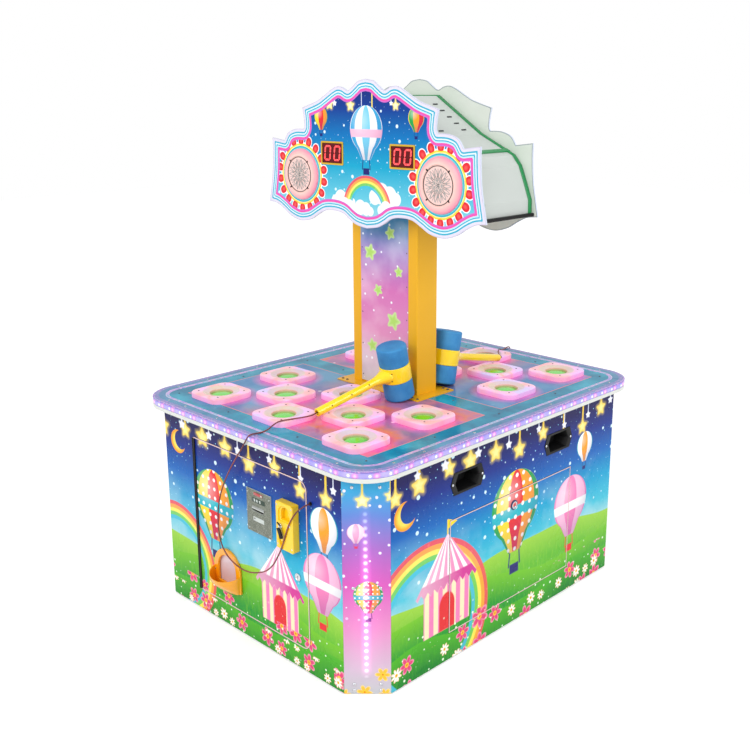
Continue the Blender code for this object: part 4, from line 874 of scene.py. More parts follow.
def corner_print():
    """Evening gradient with hanging stars and balloons, lit by a line of small lights behind it."""
    material, recipe = start_finish("corner_light_print", 0.20, Specular_IOR_Level=0.20)
    x, y, z = recipe.place()
    across = ((abs(x) - abs(y)) + (corner_middle[1] - corner_middle[0])) / math.sqrt(2)
    stops = [(0.0, srgb(190, 194, 198)), (0.12, srgb(206, 184, 204)), (0.32, srgb(224, 140, 194)),
             (0.52, srgb(210, 92, 182)), (0.68, srgb(160, 106, 190)), (0.83, srgb(96, 132, 206)),
             (0.94, srgb(62, 166, 216)), (1.0, srgb(58, 172, 220))]
    picture = Print(recipe, across, z, recipe.ramp(z / sky_height, stops))
    sprinkle(picture, 0.034, 0.0050, srgb(236, 232, 252), 2.2, 0.6, low=0.25)
    white = srgb(250, 250, 250)
    hang_stars(picture, sky_height, 0.075, (0.052, 0.035), 0.024, (srgb(252, 248, 190), srgb(246, 222, 110)),
               0.62, srgb(246, 226, 120))
    balloon(picture, (-0.030, 0.530), 0.026, [srgb(245, 170, 205), srgb(252, 225, 238)], srgb(215, 60, 90))
    balloon(picture, (0.004, 0.330), 0.044, [srgb(225, 45, 50), srgb(248, 160, 40), srgb(40, 165, 75),
                                             srgb(252, 218, 50)], srgb(32, 36, 110), white, 5.0,
            srgb(40, 180, 195))
    flower_bed(picture, 0.060, 0.026, 6, (srgb(245, 190, 60), srgb(252, 224, 140)), 3.7, 0.100, 0.8)
    recipe.coat(Base_Color=picture.colour)
    first, last, pitch = 0.070, 0.610, 0.022
    lamp_across = across + 0.003
    lamp_rise = ((z - first) / pitch).calc("FRACT") - 0.5
    dot = picture.radius(lamp_across, lamp_rise * pitch)
    along = z.above(first, 0.03) * z.below(last, 0.05)
    strength = recipe.ramp(z / sky_height, [(0.10, (0.55,) * 3 + (1,)), (0.28, (1, 1, 1, 1)),
                                            (0.62, (0.75,) * 3 + (1,)), (0.86, (0.15,) * 3 + (1,))])
    band = abs(lamp_across).below(0.012, 0.014) * 0.38
    glow = abs(lamp_across).below(0.0, 0.11) * 0.42
    core = dot.below(0.0055, 0.006)
    light = recipe.over(srgb(236, 72, 196), band + core, srgb(255, 190, 250))
    light = recipe.over(light, core, (1, 0.93, 1, 1))
    recipe.coat(Emission_Color=recipe.times(light, recipe.times(strength, (glow + band + core) * along)),
                Emission_Strength=1.0)
    uneven_gloss(recipe, 0.20)
    return material


dress(corner_print(), *("corner_light_%s_%s" % (end, side)
                        for end in ("front", "back") for side in ("left", "right")))
corner_screw = dome_screw(0.0052, 0.0034, 16)
corner_screws = []
for sign_x, sign_y in ((1, -1), (1, 1), (-1, 1), (-1, -1)):
    spots = [(across, rise, 0.0001) for across in (-0.040, 0.040) for rise in (0.015, 0.036, 0.353, 0.669)]
    heads = at_spots(corner_screw, spots)
    origin = (sign_x * corner_middle[0], sign_y * corner_middle[1], 0)
    corner_screws.append((set_on(heads[0], origin, (sign_x, sign_y, 0)), heads[1], 0))
piece("corner_screws", corner_screws, [chrome], "cabinet", smooth=40.0)

# Table: a board with a white plastic edge and rounded corners. It lies on the cabinet's walls, is
# rebated all round for the lit edge, and has a hole for each mole.

table_half, table_corner = np.array((0.5725, 0.7035)), 0.127
table_bottom, white_top, board_top = 0.7000, 0.7132, 0.7305
deck_bottom, deck_top, ring_top = 0.7308, 0.7338, 0.7528
hole_pitch_x, hole_pitch_y, first_row_y = 0.170, 0.150, 0.215
hole_radius = 0.040
hole_places = [(-end * column * hole_pitch_x, end * (first_row_y + row * hole_pitch_y)) for end in (-1, 1)
               for row, columns in enumerate(((-2, 0, 2), (-1, 1), (-2, 0, 2))) for column in columns]


def table_path(inset, count=20):
    """Loop round the table drawn in by an inset: four quarter circles joined by straight sides."""
    angles = (np.arange(4)[:, None] + np.linspace(0, 1, count)) * np.pi / 2
    centres = (table_half - table_corner) * np.array(((1, 1), (-1, 1), (-1, -1), (1, -1)))
    turned = np.stack((np.cos(angles), np.sin(angles)), axis=-1)
    return (centres[:, None] + (table_corner - inset) * turned).reshape(-1, 2)


def circle(centre, radius, count=40):
    """Points at equal steps round a centre."""
    angles = full_turn(count)
    return np.array(centre) + radius * np.stack((np.cos(angles), np.sin(angles)), axis=-1)


def filled(loops, inner=()):
    """Triangles that fill the first loop and leave out the others, facing up.

    A triangle stays if a line from its middle to the right crosses the loops an odd number of times.
    """
    starts = np.cumsum([0] + [len(loop) for loop in loops])
    rings = [start + np.arange(len(loop)) for start, loop in zip(starts, loops)]
    edges = np.concatenate([np.stack((ring, np.roll(ring, -1)), axis=1) for ring in rings])
    spots = np.concatenate([*loops, *inner])
    found = delaunay_2d_cdt(spots.tolist(), edges.tolist(), [], 1, 1e-7)
    flat, triangles = np.array([tuple(spot) for spot in found[0]]), np.array(found[2])
    middles = flat[triangles].mean(axis=1)[:, None]
    start, end = spots[edges[:, 0]][None], spots[edges[:, 1]][None]
    rise = np.where(end[..., 1] == start[..., 1], 1.0, end[..., 1] - start[..., 1])
    reach = start[..., 0] + (end[..., 0] - start[..., 0]) * (middles[..., 1] - start[..., 1]) / rise
    between = (start[..., 1] > middles[..., 1]) != (end[..., 1] > middles[..., 1])
    return flat, triangles[(between & (middles[..., 0] < reach)).sum(axis=1) % 2 == 1]


def at_level(loop, level):
    """A flat loop's points at one height."""
    return np.column_stack((loop, np.full(len(loop), level)))


def plate_shell(loops, low, high, inner=()):
    """Plate with holes: the filled loops at two levels, and a wall on each edge of only one triangle."""
    flat, triangles = filled(loops, inner)
    count = len(flat)
    sides = np.concatenate([triangles[:, pair] for pair in ((0, 1), (1, 2), (2, 0))])
    rim = sides[~np.isin(sides @ (count, 1), sides @ (1, count))]
    walls = np.stack((rim[:, 1], rim[:, 0], rim[:, 0] + count, rim[:, 1] + count), axis=1)
    points = np.concatenate([at_level(flat, level) for level in (high, low)])
    return points, triangles.tolist() + (triangles[:, ::-1] + count).tolist() + walls.tolist()


def soften(made, width, segments=2):
    """Rounded edges where two faces meet at a clear angle."""
    bevel = made.modifiers.new("soft_edges", "BEVEL")
    bevel.width = width
    bevel.segments = segments
    bevel.limit_method = "ANGLE"
    bevel.angle_limit = math.radians(50)
    bevel.use_clamp_overlap = False
    bevel.harden_normals = True


white_edge = plain_finish("white_edge_plastic", srgb(214, 217, 212), 0.34, 0.0, 260.0, 0.00004, 0.06)
led_width = 0.018
board_holes = [circle(place, 0.047) for place in hole_places]
board = piece("white_table_board",
              [(*plate_shell([table_path(0)] + board_holes, table_bottom, white_top), 0),
               (*plate_shell([table_path(led_width + 0.0003)] + board_holes, white_top, board_top), 0)],
              [white_edge], "cabinet", ("table_board",))
soften(board, 0.0016)

# Lit edge: a translucent channel round the table with pairs of small lights behind it, one white and
# one pink. It lies in the board's rebate under the play deck.

light_pairs, pair_gap = 78, 0.0195
led_low, led_high = white_top + 0.0003, board_top - 0.0003
led_middle = (led_low + led_high) / 2
across_lens = np.linspace(-1, 1, 9)
lens = [(0.0024 * share ** 4, led_middle + share * (led_high - led_low) / 2) for share in across_lens]
lens += [(led_width, led_high), (led_width, led_low)]
led_grid = np.stack([at_level(table_path(inset, 16), level) for inset, level in lens])
outer_loop = np.concatenate((led_grid[4], led_grid[4][:1]))
led_run = np.concatenate(((0,), np.cumsum(np.linalg.norm(np.diff(outer_loop, axis=0), axis=1))))
led_pitch = float(led_run[-1]) / light_pairs


def led_finish():
    """Periwinkle channel, with a white light and a pink light in each step along its run."""
    material, recipe = start_finish("lit_edge_channel", 0.24, Coat_Weight=0.4, Coat_Roughness=0.08)
    run = recipe.add("ShaderNodeUVMap", uv_map="run").outputs[0]
    picture = Print(recipe, 0.0, 0.0, srgb(160, 150, 240))
    along, rise = picture.split(run)
    step = (along / led_pitch).calc("FRACT") * led_pitch
    tone = recipe.noise(22.0, 3.0)
    picture.lay(tone.above(0.48, 0.25) * 0.8, srgb(190, 176, 244))
    glow = srgb(0, 0, 0)
    for place, halo, core in ((0.014, srgb(150, 150, 255), srgb(245, 248, 255)),
                              (0.014 + pair_gap, srgb(250, 95, 175), srgb(255, 190, 200))):
        spot = picture.radius(step - place, rise - led_middle)
        wide = spot.below(0.0, 0.030)
        picture.lay(wide * 1.3, halo)
        glow = recipe.over(glow, (wide * wide * 2.2).clamp(), halo)
        glow = recipe.over(glow, spot.below(0.0044, 0.0032), core)
    recipe.coat(Base_Color=picture.colour, Emission_Color=glow, Emission_Strength=0.85,
                Roughness=tone * 0.12 + 0.20)
    return material


edge = piece("lit_edge", [(*sheet_of(led_grid, True, closed=True), 0)], [led_finish()],
             "cabinet", ("edge_light",), smooth=50.0)
rows, count = led_grid.shape[:2]
start, level_now = np.arange(count), led_grid[:, 0, 2]
runs = np.stack((led_run[start], led_run[start + 1], led_run[start + 1], led_run[start]), axis=1)
levels = np.stack((level_now, level_now, np.roll(level_now, -1), np.roll(level_now, -1)), axis=1)
corners = np.stack((np.broadcast_to(runs[None], (rows, count, 4)),
                    np.broadcast_to(levels[:, None], (rows, count, 4))), -1)
edge.data.uv_layers.new(name="run").data.foreach_set("uv", corners.ravel())

# Play deck: a printed acrylic sheet over the whole table, with a hole for each mole. Small screws
# round its teal border and along its middle hold it down on the board.

field_x, field_y, middle_band = 0.453, 0.575, 0.044


def nearest_hole(x, y):
    """Distance to the nearest hole's centre: the three rows of each end, folded onto one another."""
    across, along = abs(x), abs(y)
    nearest = None
    for row in range(3):
        offset = abs(across - hole_pitch_x) if row == 1 else across.calc("PINGPONG", hole_pitch_x)
        depth = along - (first_row_y + row * hole_pitch_y)
        distance = (offset * offset + depth * depth).calc("SQRT")
        nearest = distance if nearest is None else nearest.calc("MINIMUM", distance)
    return nearest


def border_teal(recipe):
    """Mottled teal of the print's border, with painted lilac light from the lit edge along its rim and
    painted glints in it, and the noise it follows.
    """
    x, y, _ = recipe.place()
    streaks = recipe.noise(9.0, 4.0, 0.6)
    teal = recipe.ramp(streaks, [(0.30, srgb(0, 104, 140)), (0.50, srgb(4, 136, 168)),
                                 (0.68, srgb(44, 164, 190))])
    across, along = [(abs(value) - float(half - table_corner)).calc("MAXIMUM", 0.0)
                     for value, half in zip((x, y), table_half)]
    rim = (across * across + along * along).calc("SQRT") - table_corner
    # Painted light: the lilac band along the rim stands for the lit edge's light under the deck, and the
    # paler pink spots in it are painted glints.
    painted_glints = recipe.noise(150.0, 1.0, 0.5).above(0.57, 0.04)
    lilac = recipe.over(srgb(156, 128, 206), painted_glints, srgb(232, 160, 222))
    return streaks, recipe.over(teal, rim.above(-0.021, 0.006) * 0.85, lilac)


def deck_finish():
    """Glossy print: clouded lilac and salmon fields in a teal border, with the pink light of the lit rings
    painted round the holes in its colour and its glow.
    """
    material, recipe = start_finish("deck_print", 0.14, Specular_IOR_Level=0.20)
    x, y, _ = recipe.place()
    clouds = recipe.noise(5.5, 3.0, 0.55)
    field = recipe.ramp(clouds, [(0.28, srgb(92, 118, 168)), (0.42, srgb(136, 108, 156)),
                                 (0.50, srgb(182, 112, 154)), (0.58, srgb(214, 116, 96)),
                                 (0.70, srgb(196, 66, 134))])
    picture = Print(recipe, x, y, field)
    sprinkle(picture, 0.060, 0.0080, srgb(236, 218, 232), 4.4, 0.25)
    aside = x * y.calc("SIGN") + clouds * 0.25
    picture.lay(aside.above(0.26, 0.20) * 0.9, recipe.ramp(clouds, [(0.35, srgb(20, 112, 170)),
                                                                     (0.65, srgb(60, 158, 200))]))
    hole = nearest_hole(x, y)
    # Painted light: pink round each hole on the fields, and lilac on the border near the holes, stand for
    # the light of the rings.
    glow = hole.below(0.098, 0.075)
    picture.lay(glow * 0.80, srgb(240, 92, 178))
    streaks, teal = border_teal(recipe)
    across, along = abs(x), abs(y)
    beyond = (across - field_x).calc("MAXIMUM", along - field_y).calc("MAXIMUM", -along + middle_band)
    picture.lay(beyond.above(0.0, 0.001), teal)
    picture.lay(abs(beyond - 0.0005).below(0.0016, 0.001), srgb(232, 128, 132))
    picture.lay(beyond.above(0.0, 0.001) * hole.below(0.090, 0.05) * 0.35, srgb(150, 150, 235))
    recipe.coat(Base_Color=picture.colour)
    # Painted light: the fields glow faintly pink round the holes, as if lit by the rings.
    painted_ring_glow = recipe.over(srgb(0, 0, 0), glow * beyond.below(0.0, 0.01), srgb(236, 60, 160))
    recipe.coat(Emission_Color=painted_ring_glow, Emission_Strength=0.28, Roughness=streaks * 0.08 + 0.10)
    return material


deck_loops = [table_path(0)] + [circle(place, hole_radius) for place in hole_places]
deck = piece("printed_deck", [(*plate_shell(deck_loops, deck_bottom, deck_top), 0)], [deck_finish()],
             "cabinet", ("play_deck",))
soften(deck, 0.0007)

# Light rings: moulded milky covers over small lights, one round each hole, rounded squares that fall
# away to the hole in a shallow funnel. Four small screws hold each one.

ring_half, ring_corner, funnel_radius, funnel_depth = 0.084, 0.038, 0.062, 0.006
angles = full_turn(96)
funnel_foot, edge_foot = ring_top - funnel_depth, ring_top - 0.0046


def rounded_square(half, corner):
    """Distance from the centre to the outline in each direction: to a flat side, or to a corner's arc."""
    steep = np.maximum(np.abs(np.cos(angles)), np.abs(np.sin(angles)))
    shallow = np.minimum(np.abs(np.cos(angles)), np.abs(np.sin(angles)))
    centre = half - corner
    towards = centre * (steep + shallow)
    arc = towards + np.sqrt(np.maximum(towards ** 2 - 2 * centre ** 2 + corner ** 2, 0))
    return np.where(half / steep * shallow < centre, half / steep, arc)


ring_side = [(0.0, deck_top - 0.0002), (0.0, edge_foot)]
ring_side += [(0.005 * (1 - math.cos(turn)), edge_foot + 0.0046 * math.sin(turn))
              for turn in np.linspace(0.2, 1, 5) * math.pi / 2]
ring_rows = [(rounded_square(ring_half - inset, ring_corner - inset), level)
             for inset, level in ring_side]
ring_rows += [(funnel_radius + 0.0010, ring_top), (funnel_radius, ring_top - 0.0002),
              (funnel_radius - 0.0012, ring_top - 0.0008), (hole_radius + 0.0020, funnel_foot + 0.0006),
              (hole_radius + 0.0006, funnel_foot), (hole_radius, funnel_foot - 0.0008),
              (hole_radius, deck_top - 0.0002)]
ring_grid = np.stack([at_level(np.stack((distance * np.cos(angles), distance * np.sin(angles)), 1), level)
                      for distance, level in ring_rows])
ring_places = np.column_stack((hole_places, np.zeros(16)))


def ring_finish():
    """Milky plastic lit from inside in soft pink, salmon and lilac patches, greyer in the funnel."""
    material, recipe = start_finish("lit_ring_plastic", 0.30, Specular_IOR_Level=0.35)
    x, y, z = recipe.place()
    patches = recipe.noise(13.0, 1.5, 0.4)
    top = recipe.ramp(patches, [(0.30, srgb(214, 200, 246)), (0.42, srgb(246, 188, 238)),
                                (0.52, srgb(250, 196, 214)), (0.62, srgb(248, 178, 176)),
                                (0.72, srgb(238, 196, 226))])
    hole = nearest_hole(x, y)
    funnel = hole.below(funnel_radius + 0.002, 0.006)
    colour = recipe.over(top, funnel * 0.80, recipe.ramp(patches, [(0.35, srgb(222, 204, 206)),
                                                                    (0.65, srgb(226, 214, 188))]))
    bore = hole.below(hole_radius + 0.0015, 0.002)
    colour = recipe.over(colour, bore * 0.9,
                         recipe.over(srgb(236, 170, 160), z.below(deck_top + 0.008, 0.008),
                                     srgb(150, 196, 96)))
    facing = recipe.place("Normal")[2]
    wall = facing.below(0.55, 0.5) * hole.above(0.07, 0.01)
    colour = recipe.over(colour, wall * 0.42, srgb(252, 158, 222))
    dim = recipe.over(colour, 0.26, (0, 0, 0, 1))
    recipe.coat(Base_Color=dim)
    light = recipe.over(colour, funnel * 0.35, (0, 0, 0, 1))
    light = recipe.over(light, z.below(deck_top + 0.003, 0.012) * 0.6, srgb(250, 70, 180))
    recipe.coat(Emission_Color=light, Emission_Strength=0.30)
    uneven_gloss(recipe, 0.28)
    return material


ring = sheet_of(ring_grid, True, closed=True)
piece("light_rings", [(*at_spots(ring, ring_places), 0)], [ring_finish()], "cabinet",
      smooth=40.0)

dark_steel = plain_finish("dark_steel", srgb(92, 86, 92), 0.34, 0.9, 800.0, 0.00001, 0.15)
screw_step = 0.056
ring_screw_spots = [(x + dx, y + dy, ring_top - 0.0001) for x, y in hole_places
                    for dx in (-screw_step, screw_step) for dy in (-screw_step, screw_step)]
deck_screw_spots = [(across, along, deck_top) for across, along in (
    (0.479, 0), (0.479, 0.314), (0.479, -0.314), (0.277, 0.005),
    (0.473, 0.601), (0.473, -0.601), (0.176, 0.607), (0.176, -0.607))]
deck_screw_spots += [(-across, along, level) for across, along, level in deck_screw_spots]
piece("deck_screws", [(*at_spots(dome_screw(0.0034, 0.0014, 10), ring_screw_spots), 0),
                      (*at_spots(dome_screw(0.0038, 0.0016, 12), deck_screw_spots), 0)],
      [dark_steel], "cabinet", smooth=40.0)

# Guard strips: clear acrylic bands over the deck's rim, four straight and four round the corners, with
# polished slanted edges that catch the light.

guard_outer, guard_inner, guard_top, guard_seam, guard_bevel = 0.004, 0.058, deck_top + 0.0010, 0.183, 0.0016


def guard_shell(corner_number, straight):
    """Band between two insets: along a straight side between two seams, or round a corner.

    Its section goes from one slanted edge over the top to the other and is carried along the band.
    """
    sign = ((1, 1), (-1, 1), (-1, -1), (1, -1))[corner_number]
    run_end = table_half - guard_seam
    levels = ((guard_outer, deck_top + 0.0001), (guard_outer + guard_bevel, guard_top),
              (guard_inner - 0.013, guard_top), (guard_inner, deck_top + 0.0001))
    rows = []
    for inset, level in levels:
        loop = table_path(inset, 20).reshape(4, 20, 2)
        arc = loop[corner_number]
        if straight:
            first, last = arc[-1].copy(), loop[(corner_number + 1) % 4][0].copy()
            axis = 0 if abs(first[1] - last[1]) < 1e-6 else 1
            for spot in (first, last):
                spot[axis] = np.sign(spot[axis]) * (run_end[axis] - 0.0006)
            run = first + (last - first) * np.linspace(0, 1, 12)[:, None]
        else:
            before, after = arc[0].copy(), arc[-1].copy()
            turn_axis = 1 if corner_number % 2 == 0 else 0
            before[turn_axis] = sign[turn_axis] * run_end[turn_axis]
            after[1 - turn_axis] = sign[1 - turn_axis] * run_end[1 - turn_axis]
            run = np.concatenate((before[None], arc, after[None]))
        rows.append(at_level(run, level))
    return sheet_of(np.stack(rows, axis=1), True, (0, -1), flip=True)


def guard_finish():
    """Clear acrylic that shows the teal print under it, with a lilac glint along its slanted edges."""
    material, recipe = start_finish("clear_guard", 0.06, Specular_IOR_Level=0.30)
    z = recipe.place()[2]
    edge_mask = recipe.place("Normal")[2].below(0.9990, 0.0005)
    streak = recipe.noise(30.0, 2.0, 0.5)
    fine = recipe.noise(90.0, 1.0, 0.5)
    tint = recipe.ramp(streak, [(0.38, srgb(150, 140, 216)), (0.50, srgb(206, 170, 222)),
                                (0.56, srgb(120, 168, 204)), (0.66, srgb(150, 186, 226))])
    slope = (z - deck_top) / 0.001
    tint = recipe.over(tint, abs(slope - 0.5).above(0.36, 0.05) * 0.8, srgb(226, 214, 236))
    tint = recipe.over(tint, fine.above(0.60, 0.04) * 0.8, srgb(240, 176, 222))
    below = recipe.over(border_teal(recipe)[1], streak.above(0.36, 0.30) * 0.55, srgb(120, 156, 206))
    recipe.coat(Base_Color=recipe.over(below, edge_mask, tint), Alpha=edge_mask * 0.14 + 0.84,
                Roughness=streak * 0.06 + 0.04)
    return material


guard_shells = [(*guard_shell(corner_number, straight), 0)
                for corner_number in range(4) for straight in (False, True)]
piece("guard_strips", guard_shells, [guard_finish()], "cabinet", smooth=2.0)

guard_middle = table_half - (guard_outer + guard_inner) / 2
guard_screw_spots = [(0.4273, guard_middle[1]), (guard_middle[0], 0.5577), (guard_middle[0], 0.2000),
                     (guard_middle[0], 0.4300), (0.1500, guard_middle[1]), (0.3300, guard_middle[1])]
guard_screw_spots = [(a * x, b * y, guard_top - 0.0002)
                     for x, y in guard_screw_spots for a in (-1, 1) for b in (-1, 1)]
piece("guard_screws", [(*at_spots(dome_screw(0.0042, 0.0016, 12), guard_screw_spots), 0)], [chrome],
      "cabinet", smooth=40.0)

# Moles: blow-moulded green heads with a domed crown, each on a steel stem that runs down through its
# guide. The tray under the table carries the guides and the drives.

mole_top, mole_foot, stem_end = 0.7428, 0.6550, 0.5200
mole_radius, mole_crown, stem_radius = 0.037, 0.006, 0.009
turns = np.linspace(0, np.pi / 2, 12)
mole_profile = [(mole_radius * math.sin(turn) ** 0.8 + 0.0001, mole_top - mole_crown * (1 - math.cos(turn)))
                for turn in turns]
mole_profile += [(mole_radius, mole_foot + 0.003), (mole_radius - 0.003, mole_foot),
                 (stem_radius + 0.0005, mole_foot)]
mole_head = revolved(mole_profile, 40, flip=True)
mole_stem = revolved([(stem_radius, mole_foot + 0.001), (stem_radius, stem_end + 0.001),
                      (stem_radius - 0.001, stem_end)], 20, flip=True)
mole_green = plain_finish("mole_green_plastic", srgb(84, 212, 34), 0.22, 0.0, 300.0, 0.00004, 0.14,
                          Coat_Weight=0.6, Coat_Roughness=0.06)
for number, place in enumerate(ring_places, start=1):
    name = "mole_%02d" % number
    piece(name + "_head",
          [(mole_head[0] + place, mole_head[1], 0), (mole_stem[0] + place, mole_stem[1], 1)],
          [mole_green, dark_steel], name, (name,), smooth=50.0)
dress(plain_finish("tray_plastic", srgb(150, 150, 154), 0.5, 0.0, 220.0, 0.00006, 0.12), "mole_tray")

# Column: a folded sheet-metal post, powder-coated yellow, with rounded bends and a base flange that is
# bolted down through the play deck. A lit acrylic strip lies in a shallow recess front and back.

column_half, strip_half, strip_thickness = (0.1575, 0.050), 0.115, 0.004
flange_half, flange_low, flange_high, column_top = (0.2025, 0.095), 0.7341, 0.7371, 1.3777
column_wall, strip_gap = 0.003, 0.0003


def rounded_loop(corners, radius, steps=5):
    """Closed loop with each corner turned into a quadratic curve that starts one radius away from it."""
    corners = np.array(corners, float)
    before, after = (np.roll(corners, turn, axis=0) - corners for turn in (1, -1))
    radius = np.broadcast_to(radius, len(corners))[:, None]
    start = corners + before / np.linalg.norm(before, axis=1, keepdims=True) * radius
    end = corners + after / np.linalg.norm(after, axis=1, keepdims=True) * radius
    t = np.linspace(0, 1, steps)[None, :, None]
    start, corners, end = start[:, None], corners[:, None], end[:, None]
    return ((1 - t) ** 2 * start + 2 * t * (1 - t) * corners + t ** 2 * end).reshape(-1, 2)


def post_loops():
    """Outline of the post with its two recesses, and its hollow."""
    width, depth = column_half
    notch, floor = strip_half + strip_gap, depth - strip_thickness - strip_gap
    half = [(width, -depth), (width, depth), (notch, depth), (notch, floor), (-notch, floor),
            (-notch, depth)]
    outline = half + [(-across, -along) for across, along in half]
    hollow = (width - column_wall, floor - column_wall)
    corners = [(-hollow[0], -hollow[1]), (hollow[0], -hollow[1]), hollow, (-hollow[0], hollow[1])]
    return [rounded_loop(outline, [0.0035, 0.0035, 0.0012, 0.0004, 0.0004, 0.0012] * 2),
            rounded_loop(corners, 0.002)]


def rectangle(half_width, half_height, centre=(0, 0)):
    """Four corners round a centre, anticlockwise."""
    return [(centre[0] + a * half_width, centre[1] + b * half_height)
            for a, b in ((-1, -1), (1, -1), (1, 1), (-1, 1))]


yellow_coat = plain_finish("yellow_powder_coat", srgb(232, 174, 26), 0.34, 0.0, 650.0, 0.00005, 0.08,
                           Specular_IOR_Level=0.30)
flange_mouth = rounded_loop(rectangle(0.1500, 0.0400), 0.002)
piece("yellow_column", [(*plate_shell(post_loops(), flange_low + 0.001, column_top), 0),
                        (*plate_shell([rounded_loop(rectangle(*flange_half), 0.006), flange_mouth],
                                      flange_low, flange_high), 0)],
      [yellow_coat], "cabinet", ("column",), smooth=45.0)


def column_print():
    """Lit strip: teal at the top, through lilac and pink to grey-white, with pale green stars."""
    material, recipe = start_finish("column_strip_print", 0.22, Specular_IOR_Level=0.20)
    x, y, z = recipe.place()
    across = x * y.calc("SIGN") * -1.0
    share = (z - flange_high) / (column_top - flange_high)
    stops = [(0.0, srgb(186, 186, 190)), (0.12, srgb(200, 180, 192)), (0.30, srgb(216, 142, 184)),
             (0.55, srgb(204, 112, 176)), (0.76, srgb(148, 118, 186)), (0.90, srgb(56, 138, 184)),
             (1.0, srgb(22, 122, 170))]
    picture = Print(recipe, across, z, recipe.ramp(share, stops))
    haze = recipe.noise(7.0, 3.0)
    picture.lay(haze.above(0.55, 0.25) * 0.25, (1, 1, 1, 1))
    for centre, half, turn in (((-0.060, 0.880), 0.026, 0.2), ((0.045, 0.985), 0.034, -0.3),
                               ((-0.030, 1.085), 0.022, 0.5), ((0.070, 1.160), 0.020, 0.1),
                               ((-0.068, 1.215), 0.030, -0.2), ((0.030, 1.290), 0.024, 0.3),
                               ((0.080, 0.850), 0.018, 0.6), ((-0.085, 1.330), 0.017, 0.0)):
        local = picture.local(centre, half, turn)
        star = recipe.use(plain_star, Across=local[0], Up=local[1], Notch=0.50)["Edge"]
        picture.lay(star.below(0.10, 0.10), srgb(196, 224, 150))
        picture.lay(star.below(-0.10, 0.25), srgb(172, 214, 104))
    sprinkle(picture, 0.042, 0.0050, srgb(240, 244, 250), 6.6, 0.45)
    recipe.coat(Base_Color=picture.colour, Emission_Color=picture.colour, Emission_Strength=0.07)
    uneven_gloss(recipe, 0.22)
    return material


dress(column_print(), "column_light_front", "column_light_back")
strip_screw_spots = [(across, rise, -0.0002) for across in (-0.1085, 0.1085)
                     for rise in np.linspace(0.765, 1.345, 6)]
strip_screw = dome_screw(0.0026, 0.0011, 10)
strip_screws = at_spots(strip_screw, strip_screw_spots)
bolt = dome_screw(0.0052, 0.0036, 12)
flange_bolt_spots = [(a * x, b * 0.079, flange_high)
                     for x in (0.164, 0.187, 0.060) for a in (-1, 1) for b in (-1, 1)]
shells = [(set_on(strip_screws[0], (0, side * column_half[1], 0), (0, side, 0)), strip_screws[1], 0)
          for side in (-1, 1)]
shells.append((*at_spots(bolt, flange_bolt_spots), 0))
piece("column_bolts", shells, [dark_steel], "cabinet", smooth=40.0)

# Sign head: two printed acrylic panels with a wavy outline, one towards each player, on the sides of a
# sheet casing that stands on the column.

sign_half, sign_bottom, sign_height, sign_thickness = 0.515, 1.311, 0.489, 0.006
panel_inner = 0.1253
panel_outer = panel_inner + sign_thickness
speaker_x, speaker_z, speaker_radius = 0.330, 1.476, 0.090
display_x, display_z, display_half = 0.1665, 1.556, (0.050, 0.0335)
sign_shares = [
    (0.000, 1.000, 0), (0.068, 0.988, 0), (0.117, 0.955, 0), (0.167, 0.926, 0), (0.217, 0.947, 0),
    (0.267, 0.953, 0), (0.320, 0.935, 0), (0.408, 0.886, 0), (0.476, 0.853, 0), (0.620, 0.809, 1),
    (0.607, 0.752, 0), (0.601, 0.685, 0), (0.612, 0.660, 1), (0.700, 0.658, 0), (0.775, 0.630, 0),
    (0.817, 0.573, 1), (0.948, 0.590, 1), (0.948, 0.490, 0), (0.957, 0.352, 0), (0.977, 0.236, 0),
    (1.000, 0.118, 1), (0.920, 0.108, 0), (0.852, 0.076, 0), (0.770, 0.027, 0), (0.668, 0.000, 0),
    (0.559, 0.016, 0), (0.474, 0.060, 0), (0.400, 0.094, 0), (0.303, 0.100, 0), (0.225, 0.086, 0),
    (0.165, 0.050, 0), (0.097, 0.018, 0), (0.000, 0.002, 0)]


def sign_loop(steps=8):
    """Outline of the sign: cubic spans through the points, each pull cut off at a sharp turn."""
    shares = np.array(sign_shares)
    spots, sharp = shares[:, :2] * (sign_half, sign_height) + (0, sign_bottom), shares[:, 2:] > 0
    start, end = spots[:-1], spots[1:]
    before = np.where(sharp[:-1], start, np.concatenate((spots[:1], spots[:-2])))
    after = np.where(sharp[1:], end, np.concatenate((spots[2:], spots[-1:])))
    t = (np.arange(steps) / steps)[None, :, None]
    pull_start, pull_end = (end - before)[:, None] / 2, (after - start)[:, None] / 2
    right = ((2 * t**3 - 3 * t**2 + 1) * start[:, None] + (t**3 - 2 * t**2 + t) * pull_start
             + (3 * t**2 - 2 * t**3) * end[:, None] + (t**3 - t**2) * pull_end).reshape(-1, 2)
    right = np.concatenate((right, spots[-1:]))
    return np.concatenate((right, right[-2:0:-1] * (-1, 1)))


def display_loop(gap, centre=(0, 0)):
    """Outline of a score display's window, grown by a gap."""
    return rectangle(display_half[0] + gap, display_half[1] + gap, centre)


def rim_distance(points, loop):
    """Distance from each point to the nearest stretch of a closed loop."""
    start, span = loop[None], (np.roll(loop, -1, axis=0) - loop)[None]
    reach = points[:, None] - start
    share = np.clip((reach * span).sum(-1) / (span * span).sum(-1), 0, 1)
    return np.linalg.norm(reach - share[..., None] * span, axis=-1).min(axis=1)


